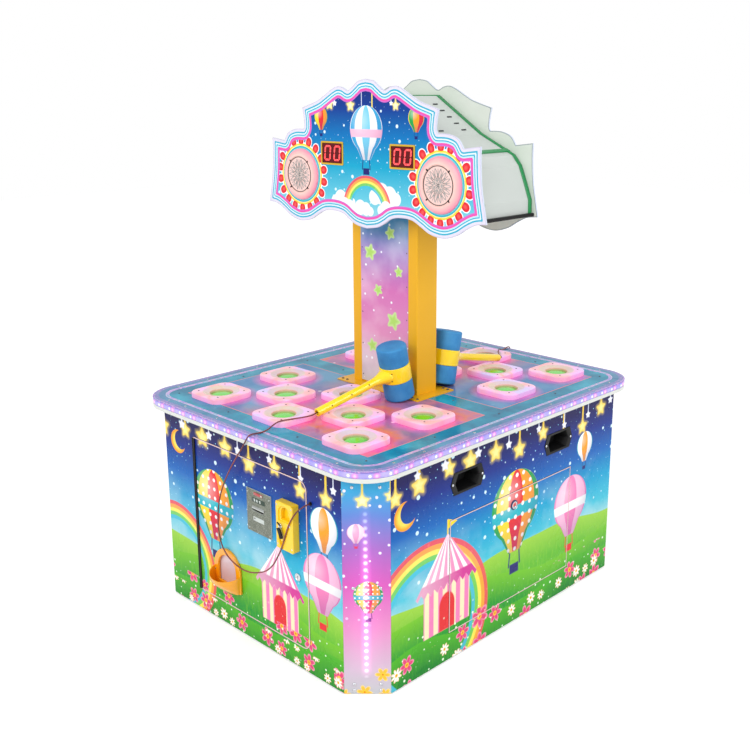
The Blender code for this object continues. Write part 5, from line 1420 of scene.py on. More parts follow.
rim_loop = sign_loop()
grid_step = 0.005
across, rise = np.meshgrid(np.arange(-sign_half, sign_half, grid_step),
                           np.arange(sign_bottom, sign_bottom + sign_height, grid_step))
grid_spots = np.stack((across.ravel(), rise.ravel()), axis=-1)
grid_rim = rim_distance(grid_spots, rim_loop)
coarse = (np.rint(grid_spots / grid_step) % 3 == 0).all(axis=1)
grid_spots = grid_spots[(grid_rim > 0.0025) & (coarse | (grid_rim < 0.046))]
sign_holes = [circle((side * speaker_x, speaker_z), 0.080, 64) for side in (-1, 1)]
sign_holes += [np.array(display_loop(0.0004, (side * display_x, display_z))) for side in (-1, 1)]
panel_points, panel_faces = plate_shell([rim_loop] + sign_holes, panel_inner, panel_outer, [grid_spots])
panel_rim = rim_distance(panel_points[:, :2], rim_loop)


def cloud(picture, centre, half, colour):
    """Puffy cloud: overlapping discs along a flat base."""
    for dx, dz, size in ((-1.1, 0.0, 0.62), (-0.35, 0.30, 0.85), (0.55, 0.18, 0.75), (1.25, -0.05, 0.52)):
        picture.disc((centre[0] + dx * half, centre[1] + dz * half), size * half, colour, 0.12)


def sign_finish():
    """Print of the sign: bands that follow the outline, an evening sky, rings round the speakers."""
    material, recipe = start_finish("sign_print", 0.20, Specular_IOR_Level=0.16)
    x, y, z = recipe.place()
    across = x * y.calc("SIGN") * -1.0
    stops = [(0.0, srgb(176, 220, 226)), (0.20, srgb(100, 196, 218)), (0.42, srgb(20, 162, 200)),
             (0.62, srgb(8, 116, 184)), (0.80, srgb(16, 62, 146)), (1.0, srgb(20, 28, 104))]
    picture = Print(recipe, across, z, recipe.ramp((z - sign_bottom) / sign_height, stops))
    white, navy = srgb(250, 252, 252), srgb(32, 36, 110)
    red, orange, green, yellow = srgb(228, 48, 52), srgb(248, 160, 40), srgb(40, 165, 75), srgb(252, 218, 50)
    sprinkle(picture, 0.044, 0.0060, srgb(225, 248, 255), 1.9, 0.5)
    sprinkle(picture, 0.022, 0.0020, srgb(200, 236, 250), 5.3, 0.5)
    for centre, half in (((-0.115, 1.395), 0.034), ((0.085, 1.420), 0.042), ((-0.020, 1.372), 0.030),
                         ((0.300, 1.335), 0.026), ((-0.310, 1.338), 0.030)):
        cloud(picture, centre, half, white)
    rainbow(picture, (0.0, 1.372), 0.074, 0.0085, rainbow_colours)
    for centre, half in (((-0.098, 1.380), 0.026), ((0.100, 1.378), 0.028)):
        cloud(picture, centre, half, white)
    hang_stars(picture, 1.775, 0.098, (0.050, 0.060), 0.020,
               (srgb(255, 252, 205), srgb(250, 222, 105)), 0.18, srgb(250, 230, 140))
    hang_stars(picture, 1.760, 0.125, (0.030, 0.045), 0.011, (white, srgb(225, 232, 250)), 0.64)
    balloon(picture, (0.0, 1.640), 0.076, [srgb(120, 205, 235), white, srgb(60, 170, 220), white],
            navy, None, 6.0, srgb(250, 190, 215))
    balloon(picture, (-0.222, 1.678), 0.034, [red, orange, green, yellow], navy)
    balloon(picture, (0.226, 1.680), 0.034, [orange, red, yellow, green], navy)
    balloon(picture, (0.438, 1.545), 0.018, [srgb(240, 130, 185), white], red)
    balloon(picture, (-0.440, 1.548), 0.018, [srgb(240, 130, 185), white], red)
    from_speaker = picture.radius(abs(across) - speaker_x, z - speaker_z)
    angle = (abs(across) - speaker_x).calc("ARCTAN2", z - speaker_z)
    half_petal = math.pi / 18
    fold = angle.calc("PINGPONG", half_petal) / half_petal
    beside, above = fold * (half_petal * 0.119), (from_speaker - 0.1175) * 0.78
    petal = picture.radius(beside, above)
    picture.lay(petal.below(0.0170, 0.0010), white)
    picture.lay(from_speaker.below(0.1130, 0.0010), white)
    picture.lay(petal.below(0.0142, 0.0010),
                recipe.over(srgb(238, 88, 84), petal.above(0.006, 0.006), srgb(222, 42, 54)))
    picture.lay((from_speaker - fold * 0.0035).below(0.1050, 0.001), srgb(250, 214, 66))
    picture.lay((from_speaker - fold * 0.0020).below(0.1005, 0.001), srgb(255, 242, 160))
    picture.lay(from_speaker.below(0.0985, 0.001), srgb(36, 176, 196))
    picture.lay(from_speaker.below(0.0935, 0.001), srgb(120, 216, 226))
    rim = Field(recipe.tree, recipe.add("ShaderNodeAttribute", attribute_name="rim").outputs["Fac"])
    border = 0.0385
    bands = [(0.0, srgb(206, 200, 222)), (0.07, srgb(222, 218, 234)), (0.27, srgb(54, 174, 204)),
             (0.40, srgb(222, 238, 246)), (0.52, srgb(60, 176, 206)), (0.62, srgb(190, 230, 242)),
             (0.74, srgb(240, 84, 172)), (0.90, srgb(206, 110, 200))]
    picture.lay(rim.below(border, 0.001), recipe.ramp(rim / border, bands, "CONSTANT"))
    outward = recipe.place("Normal")[1] * y.calc("SIGN")
    worn = recipe.noise(4.0, 3.0)
    inner_side = recipe.ramp(worn, [(0.35, srgb(208, 216, 206)), (0.65, srgb(220, 224, 216))])
    inner_side = recipe.over(inner_side, rim.below(0.0030, 0.001), srgb(160, 170, 172))
    edge_side = recipe.over(inner_side, outward.above(-0.5, 0.1), srgb(206, 214, 232))
    recipe.coat(Base_Color=recipe.over(edge_side, outward.above(0.5, 0.1), picture.colour))
    uneven_gloss(recipe, 0.20, 600.0)
    return material


sign_skin = sign_finish()
for end, side in both_ends:
    placed = np.stack((panel_points[:, 0] * -side, panel_points[:, 2] * side, panel_points[:, 1]), axis=-1)
    made = piece("printed_sign_" + end, [(placed, panel_faces, 0)], [sign_skin], "cabinet",
                 ("sign_panel_" + end,), smooth=50.0)
    made.data.attributes.new("rim", "FLOAT", "POINT").data.foreach_set("value", panel_rim)

# Speakers: a lit dome of milky plastic with a grey grille in its middle, clipped into each hole of the
# sign, with the driver's basket and magnet behind.

grille_level = 0.0112
turns = np.linspace(0, np.pi / 2, 9)
dome_profile = [(0.0785, -0.0090), (0.0785, 0.0003), (speaker_radius - 0.0005, 0.0003),
                (speaker_radius, 0.0010)]
dome_profile += [(speaker_radius - 0.024 * (1 - math.cos(turn)) - 0.0003, 0.0022 + 0.0112 * math.sin(turn))
                 for turn in turns]
dome_profile += [(0.0652, 0.0128), (0.0648, 0.0105), (0.0642, 0.0100)]
basket_profile = [(0.0640, 0.0095), (0.0770, -0.0085), (0.0740, -0.0150), (0.0430, -0.0400),
                  (0.0400, -0.0420), (0.0400, -0.0505), (0.0385, -0.0510)]
plate_profile = [(0.0645, 0.0060), (0.0645, 0.0105), (0.0600, 0.0110), (0.0002, 0.0114)]
ring_shape = np.array([(-0.0007, 0.0), (0.0007, 0.0), (0.0007, 0.0014), (-0.0007, 0.0014)])


def hoop(radius, level, width=1.0, sides=48):
    """Flat ring with a small square section."""
    turn = full_turn(sides)
    r = radius + ring_shape[:, :1] * width
    high = np.repeat(ring_shape[:, 1:] + level, sides, axis=1)
    return sheet_of(np.stack((r * np.cos(turn), r * np.sin(turn), high), axis=-1), True, closed=True)


def leaf(angle, middle, long, wide, sides=20):
    """Pointed loop of flat wire, its long way along the radius."""
    turn = full_turn(sides)
    outline = np.stack((middle + long * np.cos(turn), wide * np.sin(turn) * np.sin(turn / 2) ** 0.5),
                       axis=-1)
    tangent = np.roll(outline, -1, axis=0) - np.roll(outline, 1, axis=0)
    tangent /= np.linalg.norm(tangent, axis=1, keepdims=True)
    out = np.stack((tangent[:, 1], -tangent[:, 0]), axis=-1)
    flat = outline[None] + out[None] * ring_shape[:, None, :1]
    spin = np.array(((math.cos(angle), math.sin(angle)), (-math.sin(angle), math.cos(angle))))
    rises = np.repeat(ring_shape[:, 1:] + grille_level, sides, axis=1)[..., None]
    return sheet_of(np.concatenate((flat @ spin, rises), axis=-1), True, closed=True)


def spoke(angle, inner, outer, level, half=0.0006, height=0.0012):
    """Thin straight bar between two radii."""
    across = np.array((-math.sin(angle), math.cos(angle), 0)) * half
    along = np.array((math.cos(angle), math.sin(angle), 0))
    loop = [(-1, 0), (1, 0), (1, height), (-1, height)]
    return sheet_of(np.array([[along * reach + across * a + (0, 0, level + rise) for a, rise in loop]
                              for reach in (inner, outer)]), True, (0, -1))


speaker_shells = [(*revolved(dome_profile, 72), 0), (*revolved(basket_profile, 40, flip=True), 2),
                  (*revolved(plate_profile, 64), 0), (*hoop(0.0610, grille_level, 1.5), 2)]
for count, shift, middle, long, wide in ((14, 0, 0.038, 0.0155, 0.0052), (14, 0.5, 0.027, 0.0120, 0.0030),
                                         (7, 0, 0.010, 0.0075, 0.0030)):
    speaker_shells += [(*leaf((k + shift) / count * 2 * np.pi, middle, long, wide), 1)
                       for k in range(count)]
speaker_shells += [(*spoke((k + 0.5) / 14 * 2 * np.pi, 0.039, 0.052, grille_level), 1) for k in range(14)]
for k in range(4):
    angle = (k + 0.5) * np.pi / 2
    speaker_shells.append((*spoke(angle, 0.0600, 0.0690, 0.0118, 0.0022, 0.0022), 2))
    screw_points, screw_faces = dome_screw(0.0022, 0.0012, 10)
    hub = np.array((math.cos(angle), math.sin(angle), 0)) * 0.0035 + (0, 0, grille_level)
    speaker_shells.append((screw_points + hub, screw_faces, 2))


def dome_finish():
    """Milky dome lit from its rim: pink outside, through peach to cream at the grille."""
    material, recipe = start_finish("lit_dome_plastic", 0.28, Specular_IOR_Level=0.30)
    x, _, z = recipe.place()
    rise, run = z - speaker_z, abs(x) - speaker_x
    radius = (rise * rise + run * run).calc("SQRT") / speaker_radius
    patches = recipe.noise(20.0, 2.0)
    colour = recipe.ramp(radius + (patches - 0.5) * 0.10,
                         [(0.0, srgb(236, 208, 200)), (0.55, srgb(240, 206, 200)),
                          (0.72, srgb(250, 208, 198)), (0.84, srgb(250, 186, 184)),
                          (0.94, srgb(246, 164, 176)), (1.0, srgb(244, 146, 178))])
    recipe.coat(Base_Color=recipe.over(colour, 0.18, (0, 0, 0, 1)), Emission_Color=colour,
                Emission_Strength=0.22, Roughness=patches * 0.1 + 0.24)
    return material


dome_plastic = dome_finish()
grille_grey = plain_finish("grille_grey", srgb(168, 170, 168), 0.38, 0.35, 600.0, 0.00003, 0.10)
black_metal = plain_finish("black_metal", srgb(28, 26, 28), 0.45, 0.3, 300.0, 0.00004, 0.12)
for end, side in both_ends:
    for hand, x in (("left", -speaker_x), ("right", speaker_x)):
        origin = (x * -side, side * panel_outer, speaker_z)
        piece("speaker_dome_%s_%s" % (end, hand),
              [(set_on(points, origin, (0, side, 0)), faces, number)
               for points, faces, number in speaker_shells],
              [dome_plastic, grille_grey, black_metal], "cabinet",
              ("speaker_%s_%s" % (end, hand),), smooth=35.0)

# Score displays: two red seven-segment digits behind dark red glass in each window, with a gold frame
# pressed onto the sign round it.

display_glass = plain_finish("display_glass", srgb(92, 10, 16), 0.14, 0.0, 200.0, 0.00001, 0.20,
                             Specular_IOR_Level=0.20)
gold = plain_finish("gold_frame", srgb(232, 186, 60), 0.24, 0.7, 700.0, 0.00001, 0.10)
dress(display_glass, "score_display_front", "score_display_back")
lit_segment, recipe = start_finish("lit_segment", 0.3)
spark = recipe.noise(160.0, 2.0)
recipe.coat(Base_Color=recipe.ramp(spark, [(0.3, srgb(224, 26, 44)), (0.7, srgb(252, 84, 84))]),
            Emission_Color=recipe.ramp(spark, [(0.3, srgb(236, 30, 44)), (0.7, srgb(255, 110, 104))]),
            Emission_Strength=0.85)
digit_half, segment_half, digit_lean = (0.0130, 0.0230), 0.0031, 0.10


def segment(centre, half, upright):
    """One lit bar with pointed ends, leaning as the digit does."""
    long, thick = half - 0.0006, segment_half
    loop = np.array([(-long, 0), (thick - long, -thick), (long - thick, -thick), (long, 0),
                     (long - thick, thick), (thick - long, thick)])
    loop = loop[:, ::-1] * (-1, 1) if upright else loop
    loop = loop + centre
    loop[:, 0] += loop[:, 1] * digit_lean
    return loop


def zero_digit():
    """The six outer bars of a nought."""
    w, h = digit_half
    bars = [((0, h), w, False), ((0, -h), w, False)]
    bars += [((a * w, b * h / 2), h / 2, True) for a in (-1, 1) for b in (-1, 1)]
    return [segment(*bar) for bar in bars]


digit_shells = []
for place in (-0.0235, 0.0235):
    for loop in zero_digit():
        bar = np.stack([at_level(loop, level) for level in (-0.0004, 0.0006)])
        points, faces = sheet_of(bar, True, (0, -1))
        digit_shells.append((points + (place, 0, 0), faces, 0))
frame_loops = [rounded_loop(display_loop(0.0060), 0.005), rounded_loop(display_loop(0.0002), 0.0015)]
frame_shell = plate_shell(frame_loops, 0.0001, 0.0022)
for end, side in both_ends:
    shells = []
    for x in (-display_x, display_x):
        origin = (x, side * panel_outer, display_z)
        shells += [(set_on(points, origin, (0, side, 0)), faces, 0) for points, faces, _ in digit_shells]
        shells.append((set_on(frame_shell[0], origin, (0, side, 0)), frame_shell[1], 1))
    piece("score_digits_" + end, shells, [lit_segment, gold], "cabinet", smooth=30.0)

# Casing: pale grey folded sheet that runs over between the two panels, with hooded louvres in its slopes,
# green plastic trim along its edges and a black bar across each foot.

casing_half, louvre_y = 0.125, 0.055
casing_shares = [(0.185, 0.886), (0.553, 0.638), (0.816, 0.510), (0.868, 0.446), (0.907, 0.346),
                 (0.949, 0.231)]
casing_right = np.array(casing_shares) * (sign_half, sign_height) + (0, sign_bottom)
casing_right = np.concatenate((casing_right, [(0.951 * sign_half, 1.378)]))
casing_path = np.concatenate((casing_right[::-1] * (-1, 1), casing_right))
dress(plain_finish("casing_grey_paint", srgb(190, 196, 192), 0.36, 0.0, 500.0, 0.00004, 0.06), "sign_casing")
green_trim = plain_finish("green_trim", srgb(14, 132, 70), 0.32, 0.0, 300.0, 0.00003, 0.10)
along = np.gradient(casing_path, axis=0)
along /= np.linalg.norm(along, axis=1, keepdims=True)
casing_out = np.stack((-along[:, 1], along[:, 0]), axis=-1)
trim_section = [(0.0002, -0.0080), (0.0022, -0.0080), (0.0032, -0.0055), (0.0032, 0.0055), (0.0022, 0.0080),
                (0.0002, 0.0080)]


def trim_shell(middle_y):
    """Small flat-topped moulding carried along the casing's section."""
    rows = [np.column_stack((casing_path[:, 0] + casing_out[:, 0] * out,
                             np.full(len(casing_path), middle_y + offset),
                             casing_path[:, 1] + casing_out[:, 1] * out)) for out, offset in trim_section]
    return sheet_of(np.stack(rows, axis=1), True, (0, -1), flip=True)


def cross_bar(centre, half_width, half_height, turn=0.0):
    """Bar across the casing between the two panels."""
    loop = rounded_loop(rectangle(half_width, half_height), min(half_width, half_height) * 0.5, 3)
    spin = np.array(((math.cos(turn), -math.sin(turn)), (math.sin(turn), math.cos(turn))))
    loop = loop @ spin.T + centre
    rows = [np.column_stack((loop[:, 0], np.full(len(loop), y), loop[:, 1]))
            for y in (-casing_half + 0.0005, casing_half - 0.0005)]
    return sheet_of(np.stack(rows), True, (0, -1), flip=True)


casing_shells = [(*trim_shell(y), 0) for y in (-casing_half + 0.0085, casing_half - 0.0085)]
for side in (-1, 1):
    casing_shells.append((*cross_bar((side * 0.3933, 1.5750), 0.0090, 0.0020, side * -0.433), 0))
    casing_shells.append((*cross_bar((side * 0.4950, 1.3765), 0.0070, 0.0055), 1))
slope_start, slope_end = casing_right[0], casing_right[1]
slope = (slope_end - slope_start) / np.linalg.norm(slope_end - slope_start)
normal = np.array((-slope[1], slope[0]))
hood = np.array([(-0.0022, 0.0003), (0.0022, 0.0003), (-0.0016, 0.0030)])
for share in np.linspace(0.225, 0.885, 5):
    foot = slope_start + (slope_end - slope_start) * share
    for side in (-1, 1):
        for row in (-louvre_y, louvre_y):
            loop = foot + hood[:, :1] * slope + hood[:, 1:] * normal
            ends = [np.column_stack((loop[:, 0] * side, np.full(3, row + end), loop[:, 1]))
                    for end in (-0.011, 0.011)]
            casing_shells.append((*sheet_of(np.stack(ends), True, (0, -1), flip=side > 0), 2))
louvre_black = plain_finish("louvre_black", srgb(52, 54, 56), 0.4, 0.2, 300.0, 0.00003, 0.10)
piece("casing_trim", casing_shells, [green_trim, black_plastic, louvre_black], "cabinet",
      smooth=35.0)

# Coin door: printed sheet door in each end panel, hung on a black strip hinge. A pale plastic bead covers
# its cut edge, and a chrome cam lock turns in it.


def slab(centre, half, radius, low, high, edge=0.0006, turn=0.0):
    """Flat block with rounded corners: its outline at rising levels, drawn in a little at the top."""
    rows = []
    for inset, level in ((0, low), (0, high - edge), (edge * 0.3, high - edge * 0.3), (edge, high)):
        loop = rounded_loop(rectangle(half[0] - inset, half[1] - inset), radius - inset * 0.5, 4)
        turned = loop @ np.array(((math.cos(turn), math.sin(turn)), (-math.sin(turn), math.cos(turn))))
        rows.append(at_level(turned + centre, level))
    return sheet_of(np.array(rows), True, (0, -1))


def arch(centre, half_width, bottom, spring, steps=17):
    """Loop of a rectangle with a half circle on top, anticlockwise."""
    turn = np.linspace(0, np.pi, steps)
    top = np.column_stack((centre + half_width * np.cos(turn), spring + half_width * np.sin(turn)))
    return np.concatenate(([(centre - half_width, bottom), (centre + half_width, bottom)], top))


def bead(outer, inner, high):
    """Flat frame between two loops of as many points, standing a little proud."""
    rows = [at_level(loop, level)
            for loop, level in ((outer, 0.0001), (outer, high), (inner, high), (inner, 0.0001))]
    return sheet_of(np.array(rows), True, closed=True)


def on_ends(name, shells, finishes, body="coin_door", slot=None, stands_for=None, smooth=35.0, bevel=None):
    """A piece for each end of the machine, from shells given as (across, up, out) of its outer face."""
    for end, side in both_ends:
        placed = [(set_on(shell[0], (0, side * face_y, 0), (0, side, 0)), shell[1], number)
                  for shell, number in shells]
        replaced = (stands_for + "_" + end,) if stands_for else ()
        made = piece(name + "_" + end, placed, finishes, body + "_" + end, replaced, smooth)
        if bevel:
            soften(made, *bevel)


def door_loop(inset):
    """Outline of the coin door drawn in by an inset: square at the hinge, rounded at the lock."""
    turn = np.radians(np.concatenate((np.linspace(-90, 0, 9), np.linspace(0, 90, 9))))
    middle = np.repeat((0.110, 0.610), 9)
    curve = np.column_stack((0.268 + (0.030 - inset) * np.cos(turn),
                             middle + (0.030 - inset) * np.sin(turn)))
    return np.concatenate(([(-0.281 + inset, 0.080 + inset)], curve, [(-0.281 + inset, 0.640 - inset)]))


pale_bead = plain_finish("pale_edge_bead", srgb(226, 196, 196), 0.40, 0.0, 500.0, 0.00003, 0.10)
# Black of painted shade, for the dark inside the key slits and the hammers' bored ends; it also colours a
# small dot on the coin plate.
shadow_black = plain_finish("painted_shade_black", srgb(12, 12, 13), 0.55, 0.0, 300.0, 0.00002, 0.05)
dress(end_print, "coin_door_front", "coin_door_back")
on_ends("door_bead", [(bead(door_loop(0), door_loop(0.0032), 0.0011), 0)], [pale_bead])
dress(chrome, "door_lock_front", "door_lock_back")
lock_at = (0.2504, 0.3170)


def lock_face(centre, out, radius):
    """Raised ring of a cam lock's head, and its key slit as a black block of painted shade."""
    ring = revolved([(radius, out - 0.0010), (radius, out + 0.0007), (radius * 0.93, out + 0.0012),
                     (radius * 0.80, out + 0.0012), (radius * 0.74, out + 0.0004),
                     (radius * 0.74, out - 0.0006)], 40)
    slit = slab(centre, (0.0008, radius * 0.42), 0.0003, out - 0.0004, out + 0.0005, 0.0001)
    return [((ring[0] + (centre[0], centre[1], 0), ring[1]), 0), (slit, 1)]


on_ends("lock_face", lock_face(lock_at, 0.0033, 0.0125), [chrome, shadow_black], "door_lock")

# Coin plate: hammer-finished steel plate with a coin slot under a pressed lip, a reject button, a small
# counter window and a blank label, held by four screws. The coin mechanism hangs behind it.

plate_at, slot_at = (0.069, 0.473), (0.0635, 0.4762)


def hammered_finish():
    """Grey-green paint that dried in small shallow cells, paler towards each cell's edge, with a painted
    highlight on the faces that turn up or to the side.
    """
    material, recipe = start_finish("hammered_paint", 0.42, 0.55)
    cells = recipe.add("ShaderNodeTexVoronoi", feature="SMOOTH_F1")
    cells.inputs["Scale"].default_value = 420.0
    cells.inputs["Smoothness"].default_value = 0.6
    recipe.tree.links.new(recipe.add("ShaderNodeTexCoord").outputs["Object"], cells.inputs["Vector"])
    depth = Field(recipe.tree, cells.outputs["Distance"])
    shade = depth * 0.8 + recipe.noise(60.0, 3.0) * 0.4
    colour = recipe.ramp(shade, [(0.25, srgb(66, 74, 64)), (0.52, srgb(104, 110, 98)),
                                 (0.80, srgb(150, 154, 142))])
    facing = recipe.place("Normal")
    # Painted highlight: faces that turn up or to the side are drawn pale.
    rim = abs(facing[0]).calc("MAXIMUM", facing[2])
    recipe.coat(Base_Color=recipe.over(colour, rim.above(0.45, 0.3), srgb(214, 220, 216)),
                Roughness=depth * 0.25 + 0.30)
    recipe.bump(depth, 0.0004)
    return material


hammered = hammered_finish()
plate_loop = rounded_loop(rectangle(0.061, 0.0725, plate_at), 0.0012, 3)
slot_loop = rounded_loop(rectangle(0.0285, 0.00275, slot_at), 0.0012, 3)
mechanism_loop = rounded_loop(rectangle(0.046, 0.056, plate_at), 0.002, 3)
shells = [(plate_shell([plate_loop, slot_loop], 0.0003, 0.0043), 0),
          (plate_shell([mechanism_loop, slot_loop], -0.0099, 0.0002), 1),
          (plate_shell([mechanism_loop], -0.0747, -0.0097), 1)]
on_ends("hammered_coin_plate", shells, [hammered, black_plastic], "coin_door", "coin_steel", "coin_plate",
        25.0, (0.0007, 2))
red_button = plain_finish("red_button", srgb(176, 44, 48), 0.24, 0.0, 300.0, 0.00002, 0.10, Coat_Weight=0.5)
counter_glass = plain_finish("counter_window", srgb(20, 52, 38), 0.12, 0.0, 90.0, 0.00001, 0.35)
blank_label = plain_finish("blank_label", srgb(196, 204, 200), 0.35, 0.3, 500.0, 0.00002, 0.14)
bright_steel = plain_finish("bright_steel", srgb(186, 190, 188), 0.24, 1.0, 700.0, 0.00001, 0.10)
plate_screw = dome_screw(0.0030, 0.0014, 12)
corners = at_spots(plate_screw, [(0.0123, 0.5327, 0.0042), (0.1216, 0.5305, 0.0042),
                                 (0.0173, 0.4106, 0.0042), (0.1218, 0.4102, 0.0042)])
dot = at_spots(dome_screw(0.0028, 0.0006, 12), [(0.0485, 0.4495, 0.0050)])
digits = [slab((x, 0.5122), (0.0032, 0.0046), 0.001, 0.0049, 0.0053, 0.0001, 0.3)
          for x in (0.0500, 0.0625, 0.0770)]
lip = [(0.0041, 0.4910), (0.0048, 0.4905), (0.0068, 0.4860), (0.0071, 0.4838), (0.0066, 0.4826),
       (0.0041, 0.4820)]
lip_rows = [[(x, z, out) for out, z in lip] for x in (0.0370, 0.0375, 0.0970, 0.0975)]
details = [(slab((0.0685, 0.5340), (0.0215, 0.0045), 0.0008, 0.0040, 0.0062, 0.0008), 0),
           (slab((0.0675, 0.5120), (0.0330, 0.0075), 0.0010, 0.0040, 0.0050, 0.0004), 1),
           (slab((0.0680, 0.4480), (0.0270, 0.0070), 0.0008, 0.0040, 0.0051, 0.0003), 2),
           (slab((0.0860, 0.5340), (0.0036, 0.0032), 0.0008, 0.0060, 0.0066, 0.0002), 2),
           (sheet_of(np.array(lip_rows), True, (0, -1)), 4), (corners, 4), (dot, 3)]
details += [(digit, 2) for digit in digits]
on_ends("coin_plate_details", details, [red_button, counter_glass, blank_label, shadow_black, bright_steel])

# Lock block: moulded yellow block with a deep arched recess, a chrome barrel lock with its key hanging
# in it, and a smaller chrome lock beside it. Four screws hold it to the door.

block_at, barrel_at = (0.221, 0.481), (0.206, 0.482)
block_yellow = plain_finish("block_yellow_plastic", srgb(250, 206, 22), 0.26, 0.0, 260.0, 0.00004, 0.07,
                            Coat_Weight=0.3)
block_loop = rounded_loop(rectangle(0.040, 0.0775, block_at), 0.006, 6)
wide_arch, deep_arch = arch(block_at[0], 0.0285, 0.4965, 0.5195), arch(block_at[0], 0.0190, 0.5000, 0.5235)
notch_loop = rounded_loop([(0.1895, 0.4440), (0.2010, 0.4085), (0.2105, 0.4085), (0.2230, 0.4440),
                           (0.2060, 0.4260)], 0.003, 4)
back_loop = np.array(rectangle(0.0320, 0.0290, (block_at[0], 0.5235)))
shells = [(plate_shell([block_loop, wide_arch, notch_loop], 0.0003, 0.0263), 0),
          (plate_shell([back_loop, deep_arch], 0.0080, 0.0222), 0)]
on_ends("yellow_lock_block", shells, [block_yellow], "coin_door", "block_yellow", "lock_block", 40.0,
        (0.0022, 3))
barrel = revolved([(0.0080, 0.0250), (0.0080, 0.0312), (0.0072, 0.0323), (0.0044, 0.0323),
                   (0.0040, 0.0318)], 28)
second = revolved([(0.0056, 0.0250), (0.0056, 0.0272), (0.0048, 0.0282), (0.0020, 0.0285)], 22)
block_screws = at_spots(plate_screw, [(x, z, 0.0261) for x in (0.1872, 0.2546) for z in (0.4170, 0.5470)])
details = [((barrel[0] + (*barrel_at, 0), barrel[1]), 0), ((second[0] + (0.2440, 0.4920, 0), second[1]), 0),
           (block_screws, 0),
           (slab((0.2060, 0.4790), (0.0034, 0.0062), 0.0006, 0.0318, 0.0346, 0.0004, 0.42), 0),
           (slab((0.2030, 0.4885), (0.0082, 0.0022), 0.0009, 0.0320, 0.0352, 0.0008, -0.50), 1),
           (slab((0.2095, 0.4605), (0.0078, 0.0178), 0.0022, 0.0333, 0.0366, 0.0009, 0.44), 1),
           (slab((0.221, 0.5235), (0.0310, 0.0280), 0.002, 0.0040, 0.0083, 0.0002), 2),
           (slab((0.206, 0.4265), (0.0185, 0.0200), 0.002, 0.0160, 0.0193, 0.0002), 2)]
on_ends("key_and_locks", details, [chrome, black_plastic, block_yellow])

# Prize outlet: glossy orange moulding, an arched frame with a bulging scoop below its window and a
# chute behind. A pale flap hangs in the window.

outlet_x = -0.110
orange_plastic = plain_finish("orange_plastic", srgb(248, 164, 14), 0.24, 0.0, 220.0, 0.00004, 0.07,
                              Coat_Weight=0.35)
window_loop = arch(outlet_x, 0.0475, 0.1650, 0.2175)
shells = [(plate_shell([arch(outlet_x, 0.071, 0.147, 0.217), window_loop], 0.0003, 0.0103), 0)]
on_ends("orange_outlet", shells, [orange_plastic], "coin_door", "outlet_orange", "prize_outlet", 40.0,
        (0.0028, 3))
turn = np.linspace(0, np.pi, 33)[:, None]
half_width, reach, level, dip = np.array([
    (0.0650, 0.000, 0.1470, 0), (0.0650, 0.012, 0.1470, 0), (0.0662, 0.020, 0.1482, 0),
    (0.0674, 0.031, 0.1580, 0), (0.0686, 0.0425, 0.1720, 0.15), (0.0694, 0.0510, 0.1900, 0.6),
    (0.0698, 0.0548, 0.2105, 1), (0.0694, 0.0546, 0.2118, 1), (0.0682, 0.0534, 0.2120, 1),
    (0.0670, 0.0520, 0.2112, 1), (0.0664, 0.0510, 0.2085, 1), (0.0654, 0.0460, 0.1880, 0.6),
    (0.0640, 0.0370, 0.1700, 0.1), (0.0620, 0.0240, 0.1560, 0), (0.0610, 0.0140, 0.1530, 0),
    (0.0610, 0.000, 0.1530, 0)]).T[:, None]
ahead = np.sin(turn) * reach
bowl = (outlet_x + np.cos(turn) * half_width, level - dip * np.sin(turn) * 0.015, ahead + 0.0096)
bowl = np.stack(np.broadcast_arrays(*bowl), axis=-1)
chute_loops = [arch(outlet_x, 0.0675, 0.155, 0.217), arch(outlet_x, 0.0645, 0.158, 0.217)]
side_screws = at_spots(plate_screw, [(-0.1745, 0.1985, 0.0101), (-0.0455, 0.1985, 0.0101)])
details = [(sheet_of(bowl, True, (0, -1)), 0), (plate_shell(chute_loops, -0.0847, 0.0006), 0),
           (side_screws, 1)]
on_ends("prize_scoop", details, [orange_plastic, bright_steel], smooth=45.0)
flap_plastic = plain_finish("pale_flap", srgb(216, 198, 206), 0.30, 0.0, 120.0, 0.00004, 0.06,
                            Coat_Weight=0.3)
dress(flap_plastic, "prize_flap_front", "prize_flap_back")

# Service door trim: a thin pale plastic bead pressed over the side door's cut edge, and a steel cam
# lock in a dark blue plastic ring near its upper edge.

door_side = (face_x, 0, 0), (1, 0, 0)
door_half, door_middle, side_lock_at = (0.320, 0.19125), (0, 0.28875), (0, 0.4345)
ring_blue = plain_finish("dark_blue_ring", srgb(34, 40, 92), 0.35, 0.0, 400.0, 0.00003, 0.08)
outline = bead(*(rectangle(door_half[0] - inset, door_half[1] - inset, door_middle)
                 for inset in (0, 0.0026)), 0.0008)
collar = revolved([(0.0170, 0.0001), (0.0170, 0.0022), (0.0160, 0.0028), (0.0127, 0.0028),
                   (0.0127, 0.0001)], 36)
shells = [(outline, 0), ((collar[0] + (*side_lock_at, 0), collar[1]), 1)]
shells += [(shell, number + 2) for shell, number in lock_face(side_lock_at, 0.0030, 0.0125)]
piece("service_door_trim", [(set_on(shell[0], *door_side), shell[1], number) for shell, number in shells],
      [pale_bead, ring_blue, chrome, shadow_black], "service_door")

# Hammers: a waisted foam head held in a yellow plastic collar whose two glued halves run on into the
# handle, with small brown screws. Each lies on a ring with its cord leaving the bored end.

hammer_places = {"front": ((0.132, -0.130, 0.83724), 12.511, -4.3),
                 "back": ((0.122, 0.132, 0.83728), 12.594, 183.4)}


